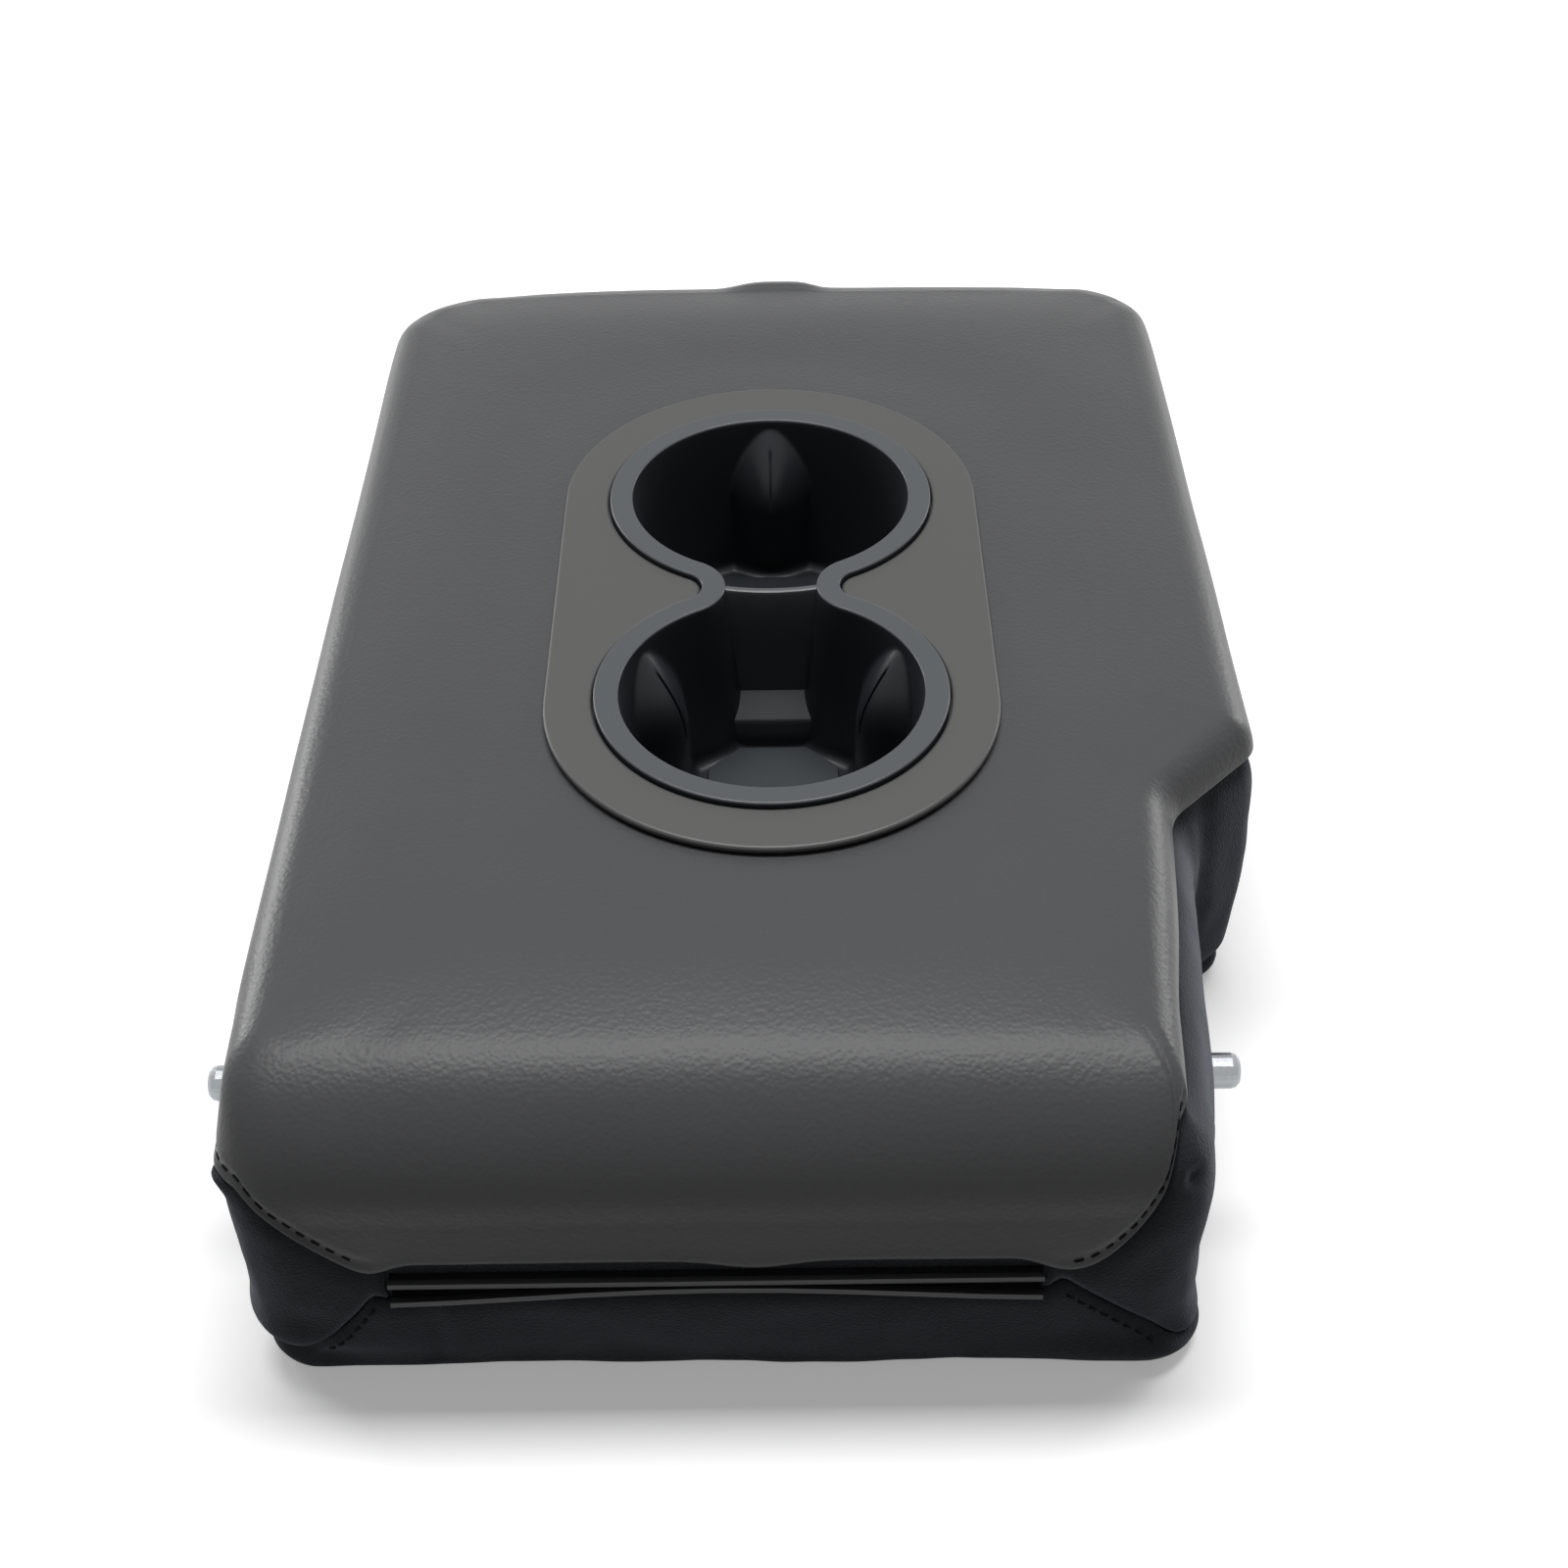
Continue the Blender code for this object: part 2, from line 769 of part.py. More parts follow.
def make_foam():
    """The two foam halves, with pockets for the tub, the steel frame and the closure strips."""
    lower_rows = [[] for _ in range(5)]
    upper_rows = [[] for _ in range(9)]
    middle = foam_gap / 2
    for station in stations:
        start = foam_depth
        for row, height in zip(lower_rows, (start, start + 0.0012, start + 0.0045, 0.028, foam_split - middle)):
            row.append(skin_point(station, height, foam_depth))
        rolls = roll_heights(station, foam_depth, 4)
        for row, height in zip(upper_rows, [foam_split + middle] + rolls):
            row.append(skin_point(station, height, foam_depth))
        for row, share in zip(upper_rows[6:], (0.35, 0.7, 1.0)):
            row.append(top_point(station, share, foam_depth))
    tools = foam_cutters()
    combine(loft("foam_lower", lower_rows, foam()), tools)
    combine(loft("foam_upper", upper_rows, foam()), tools)


def foam_cutters():
    """The shapes that the hidden pieces leave in the foam."""
    gap = foam_gap
    radius = tub_outer_radius + gap
    tools = [flat_plate("tub_pocket", [stadium(radius)], tub_bottom - gap, body_height + 0.02)]
    tools.append(bar_along("wire_channel", wire_path(gap), wire_radius + gap))
    reach = pivot_tube_radius + gap
    tools.append(rod_cutter("tube_channel", reach, left_bracket_x, right_bracket_x))
    tools.append(rod_cutter("rod_channel", rod_radius + rod_hole_gap, rod_left, rod_right))
    outside = bush_flange_thickness + clip_thickness + 3 * seat_gap + gap
    for name, face, sign in (("left", left_bracket_x, 1), ("right", right_bracket_x, -1)):
        edges = sorted((face - sign * outside, face + sign * (bracket_thickness + gap)))
        low = (edges[0], pivot_y - bracket_eye_radius - gap, pivot_height - bracket_eye_radius - gap)
        high = (edges[1], pivot_y + bracket_reach + gap, pivot_height + bracket_eye_radius + gap)
        tools.append(box(name + "_bracket_pocket", low, high))
    for name, sign in (("rear", -1), ("front", 1)):
        middle = bezel_centre_y + sign * plate_offset
        half = plate_width / 2 + gap
        low = (wire_left - wire_radius - gap, middle - half, pivot_height - gap)
        high = (wire_right + wire_radius + gap, middle + half, plate_bottom + plate_flange + gap)
        tools.append(box(name + "_plate_pocket", low, high))
        side = ear_half_spacing + ear_width / 2 + gap
        inner = bezel_centre_y + sign * (bezel_half_spacing + tub_inner_radius - 0.010)
        ends = sorted((inner, middle + sign * half))
        top = ear_top + seat_gap + screw_head_height + gap
        tools.append(box(name + "_ear_pocket", (-side, ends[0], pivot_height), (side, ends[1], top)))
    lowest = lower_strip_height - strip_flange - gap
    low = (closure_left - gap, hinge_end - 0.001, lowest)
    depth = hinge_side.inset(lowest, foam_depth) + strip_thickness + gap
    high = (closure_right + gap, hinge_end + depth, upper_strip_height + strip_flange + gap)
    tools.append(box("closure_pocket", low, high))
    return tools


# Closure strips, pull strap and steel frame


def strip_section(base, up, shift):
    """A J-shaped section: a bead at the outer end, a lip, and a flange that rises or falls behind the cover."""
    face = hinge_end - strip_proud
    flange = base + strip_flange * up
    back = hinge_end + hinge_side.inset(base, foam_depth) + strip_thickness
    back_end = hinge_end + hinge_side.inset(flange, foam_depth) + strip_thickness
    half = strip_thickness / 2
    level = base + half * up
    bead = strip_bead * up
    points = [
        (back, base - half * up),
        (back_end, flange),
        (back_end - strip_thickness, flange),
        (back - strip_thickness, level),
        (face + 0.0022, level),
        (face + 0.0018, base + bead),
        (face + 0.0004, base + bead * 0.8),
        (face, base),
        (face + 0.0004, base - bead * 0.8),
        (face + 0.0018, base - bead),
        (face + 0.0022, base - half * up),
    ]
    return [(y, z + shift) for y, z in points]


def make_closure_strips():
    """The two black hook strips across the hinge end: the upper one straight, the lower one bowed up."""
    left = closure_left + strip_end_gap
    right = closure_right - strip_end_gap
    run = closure_right - closure_left
    spread = [left] + [closure_left + run * step / closure_steps for step in range(1, closure_steps)] + [right]
    upper = [(x, strip_section(upper_strip_height, 1, 0.0)) for x in (left, right)]
    lower = [(x, strip_section(lower_strip_height, -1, strip_bow(x))) for x in spread]
    section_loft("upper_closure_strip", upper, black_plastic())
    smooth_round(section_loft("lower_closure_strip", lower, black_plastic()), 20.0)


def front_line(offset):
    """Points down the front face from the edge roll, an offset outside the cover, as (y, z)."""
    side = front_side
    centre_y = front_end + front_bulge - side.top_lean - side.top_roll
    centre_z = body_height - side.top_roll
    reach = side.top_roll + offset
    found = []
    for step in range(6):
        turn = strap_top_turn * (1 - step / 5)
        found.append((centre_y + reach * math.cos(turn), centre_z + reach * math.sin(turn)))
    for step in range(1, 6):
        height = centre_z + (strap_end_height - centre_z) * step / 5
        found.append((front_end + front_bulge - side.inset(height, 0.0) + offset, height))
    return found


def make_pull_strap():
    """A short doubled strap down the front face, with its end folded over once more."""
    inner = front_line(strap_gap)
    outer = front_line(strap_gap + strap_thickness)
    fold = front_line(strap_gap + 2 * strap_thickness)
    last = outer[-1]
    top = last[1] + strap_fold
    thick = [(last[0], top), (fold[-1][0], top - 0.001), (fold[-1][0], last[1])]
    kept = [point for point in outer if point[1] > top + 0.001]
    outline = inner + list(reversed(thick)) + list(reversed(kept))
    ends = (strap_centre - strap_half_width, strap_centre + strap_half_width)
    made = section_loft("pull_strap", [(x, outline) for x in ends], leatherette())
    smooth_round(made, 30.0)


def wire_path(extra=0.0):
    """The bent wire's centre line, from the left bracket round the front to the right one."""
    start = pivot_y + bracket_reach - wire_lap - extra
    path = [Vector((wire_left, start, pivot_height))]
    for x, first, sign in ((wire_left, math.pi, 1), (wire_right, math.pi / 2, -1)):
        centre = Vector((x + sign * wire_bend, wire_front_y - wire_bend, pivot_height))
        for step in range(6):
            turn = first - math.pi / 2 * step / 5
            path.append(centre + Vector((math.cos(turn), math.sin(turn), 0.0)) * wire_bend)
    path.append(Vector((wire_right, start, pivot_height)))
    return path


def bracket_outline():
    """The hinge bracket's outline round the pivot: an eye with an arm forward."""
    first = math.asin(bracket_arm_half_height / bracket_eye_radius)
    sweep = 2 * math.pi - 2 * first
    turns = [first + sweep * step / 20 for step in range(21)]
    eye = [(bracket_eye_radius * math.cos(turn), bracket_eye_radius * math.sin(turn)) for turn in turns]
    cut = 0.004
    half = bracket_arm_half_height
    arm = [(bracket_reach - cut, -half), (bracket_reach, cut - half)]
    return eye + arm + [(y, -z) for y, z in reversed(arm)]


def circle(radius, steps=24):
    turns = [2 * math.pi * step / steps for step in range(steps)]
    return [(radius * math.cos(turn), radius * math.sin(turn)) for turn in turns]


def make_frame():
    """The welded steel frame: two hinge brackets, a bent wire, two cross plates and the pivot tube."""
    upright = Matrix(((0, 0, 1, 0), (1, 0, 0, 0), (0, 1, 0, 0), (0, 0, 0, 1)))
    hole = bush_radius + seat_gap
    for name, x in (("left_hinge_bracket", left_bracket_x), ("right_hinge_bracket", right_bracket_x)):
        high = bracket_thickness if x < 0 else 0.0
        outlines = [bracket_outline(), circle(hole)]
        made = flat_plate(name, outlines, high - bracket_thickness, high, painted_steel())
        made.data.transform(Matrix.Translation((x, pivot_y, pivot_height)) @ upright)
        smooth_round(made)
    bar_along("frame_wire", wire_path(), wire_radius, painted_steel(), 2)
    left = left_bracket_x + bracket_thickness + seat_gap
    right = right_bracket_x - bracket_thickness - seat_gap
    inner = pivot_tube_radius - pivot_tube_wall
    length = right - left
    ring = [(inner, 0.0), (pivot_tube_radius, 0.0), (pivot_tube_radius, length), (inner, length)]
    turned("pivot_tube", ring, along_x(left), painted_steel())
    for name, sign in (("rear", -1), ("front", 1)):
        middle = bezel_centre_y + sign * plate_offset
        near = middle - sign * plate_width / 2
        far = middle + sign * plate_width / 2
        inside = far - sign * plate_thickness
        top = plate_bottom + plate_flange
        outline = [(near, plate_bottom), (far, plate_bottom), (far, top), (inside, top)]
        outline += [(inside, plate_top), (near, plate_top)]
        ends = (wire_left - wire_radius, wire_right + wire_radius)
        made = section_loft(name + "_cross_plate", [(x, outline) for x in ends], painted_steel())
        combine(made, [screw_hole(name, side, sign) for side in (-1, 1)])


def screw_place(side, sign):
    """The x and y of one tub screw: side picks left or right, sign the rear or the front."""
    return side * ear_half_spacing, bezel_centre_y + sign * plate_offset


def screw_hole(name, side, sign):
    x, y = screw_place(side, sign)
    radius = screw_radius + screw_hole_gap
    return upright_cylinder(name + "_screw_hole", radius, x, y, plate_bottom - 0.001, ear_top + 0.001)


def make_pivot():
    """The pivot rod with its rounded ends and clip grooves, two bushes and two clips."""
    middle = (rod_left + rod_right) / 2
    clip_gap = bush_flange_thickness + 2 * seat_gap
    left_clip = left_bracket_x - clip_gap - clip_thickness
    right_clip = right_bracket_x + clip_gap
    groove = rod_radius - clip_groove_depth
    flat = rod_radius - rod_end_round
    turns = [math.pi / 2 * step / 3 for step in range(4)]
    dome = [(flat + rod_end_round * math.sin(turn), rod_end_round * (1 - math.cos(turn))) for turn in turns]
    profile = [(0.0, rod_left)] + [(radius, rod_left + rise) for radius, rise in dome]
    for clip in (left_clip, right_clip):
        low = clip - seat_gap
        high = clip + clip_thickness + seat_gap
        profile += [(rod_radius, low), (groove, low), (groove, high), (rod_radius, high)]
    profile += [(radius, rod_right - rise) for radius, rise in reversed(dome)] + [(0.0, rod_right)]
    local = [(radius, x - middle) for radius, x in profile]
    rod = turned("pivot_rod", local, Matrix.Rotation(math.pi / 2, 4, "Y"), zinc())
    rod.location = (middle, pivot_y, pivot_height)
    bore = groove + seat_gap
    ring = [(bore, 0.0), (clip_radius, 0.0), (clip_radius, clip_thickness), (bore, clip_thickness)]
    turned("left_rod_clip", ring, along_x(left_clip), zinc())
    turned("right_rod_clip", ring, along_x(right_clip), zinc())
    long = bush_flange_thickness + bracket_thickness + seat_gap * 2 + bush_inner_length
    flange = bush_flange_thickness
    bush = [(bush_bore, 0.0), (bush_flange_radius, 0.0), (bush_flange_radius, flange)]
    bush += [(bush_radius, flange), (bush_radius, long), (bush_bore, long)]
    turned("left_pivot_bush", bush, along_x(left_bracket_x - seat_gap - flange), nylon())
    back = Matrix.Rotation(math.pi, 4, "Y")
    turned("right_pivot_bush", bush, along_x(right_bracket_x + seat_gap + flange) @ back, nylon())


# Cup holder


def stadium(radius, steps=16):
    """A stadium outline round the bezel's middle, lying along Y."""
    found = []
    for sign in (1, -1):
        for step in range(steps + 1):
            turn = math.pi * step / steps + (0.0 if sign > 0 else math.pi)
            y = bezel_centre_y + sign * bezel_half_spacing + radius * math.sin(turn)
            found.append((radius * math.cos(turn), y))
    return found


def eight(offset, cup_steps=20, neck_steps=6):
    """The outline of two cups joined by a neck, grown outwards by an offset."""
    apart = cup_radius - neck_half_width
    centre = (half_spacing**2 - apart**2) / (2 * apart)
    fillet = centre - neck_half_width - offset
    radius = cup_radius + offset
    dip = math.atan2(half_spacing, centre)
    found = []
    for sign in (1, -1):
        base = 0.0 if sign > 0 else math.pi
        for step in range(cup_steps + 1):
            turn = base - dip + (math.pi + 2 * dip) * step / cup_steps
            found.append((radius * math.cos(turn), sign * half_spacing + radius * math.sin(turn)))
        for step in range(1, neck_steps):
            turn = base + dip - 2 * dip * step / neck_steps
            found.append((-sign * centre + fillet * math.cos(turn), fillet * math.sin(turn)))
    return found


def draft_in(depth):
    """How far the liner's wall has come in at a depth below its rim."""
    return depth * math.tan(cup_draft)


def make_insert():
    """The soft liner: a rim, two tapered cups with a web between them, floor pads and slit fingers."""
    outer_low = insert_wall - draft_in(cup_depth)
    outer_high = insert_wall - draft_in(rim_thickness)
    levels = [(outer_low - 0.002, insert_bottom), (outer_low, insert_bottom + 0.002)]
    levels += [(outer_high, insert_flange_bottom), (rim_width, insert_flange_bottom)]
    levels += [(rim_width, rim_top - rim_round), (rim_width - rim_round * 0.3, rim_top - rim_round * 0.3)]
    levels += [(rim_width - rim_round, rim_top), (rim_round * 1.3, rim_top)]
    levels += [(rim_round * 0.4, rim_top - rim_round * 0.3), (0.0, rim_top - rim_round * 1.3)]
    levels += [(-draft_in(depth), rim_top - depth) for depth in (0.018, cup_depth - floor_round)]
    levels += [(-draft_in(cup_depth) - floor_round * 0.3, cup_floor + floor_round * 0.3)]
    levels += [(-draft_in(cup_depth) - floor_round, cup_floor)]
    rows = [[(x, y, z) for x, y in eight(offset)] for offset, z in levels]
    insert = loft("cup_insert", rows, soft_plastic())
    combine(insert, [make_web()] + make_pads() + make_fingers(), "UNION")
    combine(insert, make_slits())
    insert.data.transform(insert_place)
    smooth_round(insert, 38.0)
    return insert


def make_web():
    """The wall between the cups, with a saddle top and a stepped foot."""
    top = rim_top - web_top_depth
    knee = rim_top - web_step_depth
    foot = rim_top - web_foot_depth
    low = cup_floor - insert_wall / 2
    thin = web_half_thickness
    wide = web_foot_half_thickness
    right = [(thin, top - 0.0008), (thin, knee), (wide, foot), (wide, low)]
    sections = []
    for x, dip in ((-1, 0.0), (-0.5, 0.0009), (0, 0.0012), (0.5, 0.0009), (1, 0.0)):
        crown = [(-thin * 0.5, top - dip), (thin * 0.5, top - dip)]
        outline = crown + [(y, z - dip if z > knee else z) for y, z in right]
        outline += [(-y, z - dip if z > knee else z) for y, z in reversed(right)]
        sections.append((x * (neck_half_width + web_bite), outline))
    return clipped(section_loft("web_blank", sections), "web")


def clipped(blank, name):
    """A blank kept only where it lies inside the liner's outer wall."""
    levels = [(web_bite - draft_in(cup_depth + 0.002), rim_top - cup_depth - 0.002)]
    levels += [(web_bite - draft_in(0.001), rim_top - 0.001)]
    keep = loft(name + "_limit", [[(x, y, z) for x, y in eight(offset)] for offset, z in levels])
    boolean(blank, keep, "INTERSECT")
    bake(blank)
    return blank


def make_pads():
    """The raised eight-sided pad on each cup's floor."""
    half, cut = floor_pad_half_width, floor_pad_chamfer
    inner, outer = floor_pad_inner_y, floor_pad_outer_y
    side = [(half - cut, inner), (half, inner + cut), (half, outer - cut), (half - cut, outer)]
    outline = side + [(-x, y) for x, y in reversed(side)]
    top = cup_floor + floor_pad_height
    low = cup_floor - insert_wall / 2
    near = [(x, -y) for x, y in outline]
    return [flat_plate("front_pad", [outline], low, top), flat_plate("rear_pad", [near], low, top)]


def finger_levels():
    """A finger's depth below the rim, its reach into the cup and its half width, from its tip down."""
    found = []
    for share in (0.0, 0.12, 0.3, 0.55, 0.8, 1.0):
        depth = finger_top_depth + finger_rise * share
        reach = finger_reach * math.sin(math.pi / 2 * share)
        width = finger_half_width * math.sin(math.pi / 2 * (0.04 + 0.96 * share)) ** 0.75
        found.append((depth, reach, width))
    found.append((cup_depth * 0.72, finger_reach * 0.94, finger_half_width))
    found.append((cup_depth + insert_wall / 2, finger_reach * 0.62, finger_half_width * 0.95))
    return found


def finger_places():
    """Where each finger stands: its cup's centre and its turn, the rear cup's mirrored from the front's."""
    found = []
    for sign in (1, -1):
        for turn in finger_turns:
            place = Matrix.Translation((0.0, sign * half_spacing, 0.0))
            found.append(place @ Matrix.Rotation(math.radians(turn * sign), 4, "Z"))
    return found


def make_fingers():
    """Six rounded fingers with pointed tops that stand in from the cups' walls."""
    rows = []
    for depth, reach, width in finger_levels():
        wall = cup_radius - draft_in(depth)
        row = []
        for step in range(11):
            turn = math.pi * step / 10
            out = wall - reach * math.sin(turn) ** 1.2
            across = width * math.cos(turn)
            row.append((math.sqrt(max(out**2 - across**2 * 0.6, 0.0)), across, rim_top - depth))
        behind = wall + insert_wall / 2
        for across in (-width, -width / 2, width / 2, width):
            row.append((math.sqrt(behind**2 - across**2 * 0.6), across, rim_top - depth))
        rows.append(row)
    found = []
    for number, place in enumerate(finger_places()):
        made = loft("finger_%d" % number, rows)
        made.data.transform(place)
        found.append(made)
    return found


def make_slits():
    """The upright slit down the middle of each finger."""
    face = []
    for depth, reach, _ in finger_levels():
        if depth > finger_slit_top and depth < cup_depth * 0.8:
            face.append((cup_radius - draft_in(depth) - reach + finger_slit_depth, rim_top - depth))
    inner = cup_radius * 0.4
    outline = [(inner, face[0][1])] + face + [(inner, face[-1][1])]
    half = finger_slit_width / 2
    found = []
    for number, place in enumerate(finger_places()):
        rows = [[(r, side * half, z) for r, z in outline] for side in (-1, 1)]
        made = loft("slit_%d" % number, rows)
        made.data.transform(place)
        found.append(made)
    return found


def make_bezel():
    """The satin surround that covers the hole's edge in the leatherette."""
    opening = [(x, y + insert_shift_y) for x, y in eight(rim_width + bezel_opening_gap, 28, 8)]
    made = flat_plate("cupholder_bezel", [stadium(bezel_radius, 28), opening], bezel_bottom, bezel_top, bezel_plastic())
    round_edge = made.modifiers.new("edge_round", "BEVEL")
    round_edge.width = bezel_edge_round
    round_edge.segments = 2
    round_edge.limit_method = "ANGLE"
    round_edge.angle_limit = math.radians(50.0)
    bake(made)
    smooth_round(made)


def make_tub():
    """The rigid tub: a flange under the bezel, a box round the liner and four screw ears."""
    under = tub_top - tub_flange_thickness
    tub = flat_plate("cupholder_tub", [stadium(tub_outer_radius)], tub_bottom, under, black_plastic())
    hollow = flat_plate("tub_hollow", [stadium(tub_inner_radius)], tub_floor, under + 0.001)
    for side in (-1, 1):
        for sign in (-1, 1):
            x, y = screw_place(side, sign)
            inner = bezel_centre_y + sign * (bezel_half_spacing + tub_inner_radius - 0.006)
            ends = sorted((inner, y + sign * ear_width / 2))
            half = ear_width / 2
            ear = box("ear", (x - half, ends[0], ear_bottom), (x + half, ends[1], ear_top))
            boolean(tub, ear, "UNION")
    bake(tub)
    boolean(tub, hollow)
    bake(tub)
    opening = [(x, y + insert_shift_y) for x, y in eight(insert_wall + tub_opening_gap)]
    flange = flat_plate("tub_flange", [stadium(tub_flange_radius), opening], under - 0.0004, tub_top)
    boolean(tub, flange, "UNION")
    bake(tub)
    combine(tub, [screw_hole("tub", side, sign) for side in (-1, 1) for sign in (-1, 1)])


def make_screws():
    """Four pan-head screws that hold the tub's ears to the cross plates."""
    head = screw_head_height
    profile = [(0.0, -screw_length), (screw_radius * 0.6, -screw_length), (screw_radius, -screw_length * 0.85)]
    profile += [(screw_radius, 0.0), (screw_head_radius, 0.0), (screw_head_radius, head * 0.4)]
    profile += [(screw_head_radius * 0.7, head), (0.0, head)]
    for end, sign in (("rear", -1), ("front", 1)):
        for side_name, side in (("left", -1), ("right", 1)):
            x, y = screw_place(side, sign)
            place = Matrix.Translation((x, y, ear_top + seat_gap))
            turned("tub_screw_%s_%s" % (end, side_name), profile, place, zinc(), 16)


def centre_on_resting_face():
    """Everything carried by one empty that brings the middle of the resting face to the origin."""
    bpy.context.view_layer.update()
    points = [made.matrix_world @ Vector(corner) for made in parts.objects for corner in made.bound_box]
    low = [min(point[axis] for point in points) for axis in range(3)]
    high = [max(point[axis] for point in points) for axis in range(3)]
    carrier = bpy.data.objects.new("armrest_origin", None)
    carrier.location = (-(low[0] + high[0]) / 2, -(low[1] + high[1]) / 2, -low[2])
    for made in list(parts.objects):
        made.parent = carrier
    parts.objects.link(carrier)


clear_scene()
make_top_cover()
make_side_panels()
make_bottom_panel()
make_foam()
make_closure_strips()
make_pull_strap()
make_frame()
make_pivot()
make_insert()
make_bezel()
make_tub()
make_screws()
centre_on_resting_face()
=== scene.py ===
import math

import bmesh
import bpy
import numpy as np
from mathutils import Matrix, Vector, noise
from mathutils.kdtree import KDTree


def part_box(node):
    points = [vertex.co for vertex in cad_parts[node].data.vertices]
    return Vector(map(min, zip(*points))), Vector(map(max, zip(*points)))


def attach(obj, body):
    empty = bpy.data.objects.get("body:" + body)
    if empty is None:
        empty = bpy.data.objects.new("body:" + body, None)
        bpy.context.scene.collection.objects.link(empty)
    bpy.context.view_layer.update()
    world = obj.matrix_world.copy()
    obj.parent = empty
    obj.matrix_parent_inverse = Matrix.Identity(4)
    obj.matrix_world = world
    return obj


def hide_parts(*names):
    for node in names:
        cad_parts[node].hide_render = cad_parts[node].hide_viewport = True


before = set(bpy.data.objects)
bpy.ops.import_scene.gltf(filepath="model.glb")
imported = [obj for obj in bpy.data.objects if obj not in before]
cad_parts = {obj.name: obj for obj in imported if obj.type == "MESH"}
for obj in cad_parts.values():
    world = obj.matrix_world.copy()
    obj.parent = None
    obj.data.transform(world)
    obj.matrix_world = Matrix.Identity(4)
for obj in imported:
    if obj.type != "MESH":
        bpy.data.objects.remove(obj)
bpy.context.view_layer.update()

# Where the part's own lengths start from, read from the frame: the pivot rod's left end and axis
rodLow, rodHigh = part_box("pivot_rod")
pivot = {"leftEnd": -0.1489, "y": -0.149, "radius": 0.00475, "height": 0.050}
shift = Vector((rodLow.x - pivot["leftEnd"], (rodLow.y + rodHigh.y) / 2 - pivot["y"], 0.0))

# The body's outline: walls, heights and the run of the seams, in metres
body = {
    "leftWall": -0.1370, "rightWall": 0.1385, "stepWall": 0.1175, "narrowWall": 0.1078,
    "hingeEnd": -0.2115, "frontEnd": 0.2080, "frontBulge": 0.0030, "leftFrontTaper": 0.0020,
    "stepStart": -0.0840, "stepEnd": -0.0620, "height": 0.098, "crown": 0.002, "widest": 0.055,
    "leftHingeRound": 0.018, "rightHingeRound": 0.016, "leftFrontRound": 0.035,
    "rightFrontRound": 0.030, "stepRound": 0.014, "sideSeam": 0.086, "ear": 0.0735, "earRun": 0.032,
    "bottomSeam": 0.009, "hem": 0.048, "closureLeft": -0.0965, "closureRight": 0.0665,
    "closureHem": 0.0505, "closureSag": 0.0025, "flap": 0.0350, "flapEnd": 0.0435,
    "stripBow": 0.0042, "frontSeamBack": 0.010, "bezelRadius": 0.064, "bezelHalf": 0.052,
    "bezelY": -0.002, "holeRadius": 0.0595,
}
leatherThickness = 0.0024
knitThickness = 0.0018

# Each side: top roll, top lean, bottom roll and bottom lean
hingeSide = (0.034, 0.001, 0.006, 0.006)
narrowSide = (0.011, 0.0095, 0.006, 0.001)
stepSide = (0.011, 0.003, 0.007, 0.003)
rightSide = (0.011, 0.0035, 0.008, 0.004)
frontSide = (0.020, 0.002, 0.008, 0.005)
leftSide = (0.011, 0.0026, 0.006, 0.004)
corners = [
    (Vector((body["leftWall"], body["hingeEnd"])), body["leftHingeRound"], hingeSide),
    (Vector((body["narrowWall"], body["hingeEnd"])), body["rightHingeRound"], narrowSide),
    (Vector((body["stepWall"], body["stepStart"])), body["stepRound"], stepSide),
    (Vector((body["rightWall"], body["stepEnd"])), body["stepRound"], rightSide),
    (Vector((body["rightWall"], body["frontEnd"])), body["rightFrontRound"], frontSide),
    (Vector((body["leftWall"] + body["leftFrontTaper"], body["frontEnd"])), body["leftFrontRound"], leftSide),
]
cornerSteps = 12
fineSpacing = 0.0034  # at the hinge end and the notch
plainSpacing = 0.0060  # at the other sides


def inset(side, height, depth):
    topRoll, topLean, bottomRoll, bottomLean = side
    middle = body["height"] - topRoll
    if height > middle:
        reach = topRoll - depth
        rise = min(height - middle, reach)
        return topLean + topRoll - math.sqrt(reach**2 - rise**2)
    if height >= body["widest"]:
        return depth + topLean * ((height - body["widest"]) / (middle - body["widest"])) ** 2
    if height >= bottomRoll:
        return depth + bottomLean * ((body["widest"] - height) / (body["widest"] - bottomRoll)) ** 2
    reach = bottomRoll - depth
    drop = min(bottomRoll - height, reach)
    return bottomLean + bottomRoll - math.sqrt(reach**2 - drop**2)


def direction(index):
    return (corners[(index + 1) % 6][0] - corners[index][0]).normalized()


def outward(index):
    along = direction(index)
    return Vector((along.y, -along.x))


filletStore = {}


def fillet(index, height, depth):
    key = (index, round(height, 7), round(depth, 6))
    if key in filletStore:
        return filletStore[key]
    place, radius, side = corners[index]
    first, second = outward(index - 1), outward(index)
    firstInset, secondInset = inset(corners[index - 1][2], height, depth), inset(side, height, depth)
    reach = Vector((first.dot(place) - firstInset, second.dot(place) - secondInset))
    moved = Matrix((first, second)).inverted() @ reach
    turn = math.acos(max(-1.0, min(1.0, first.dot(second))))
    convex = direction(index - 1).cross(direction(index)) > 0
    smaller = min(firstInset, secondInset)
    size = max(radius - smaller, radius / 3) if convex else radius + smaller
    run = size * math.tan(turn / 2)
    start, end = moved - direction(index - 1) * run, moved + direction(index) * run
    sign = 1.0 if convex else -1.0
    filletStore[key] = (start - first * size * sign, size * sign, start, end)
    return filletStore[key]


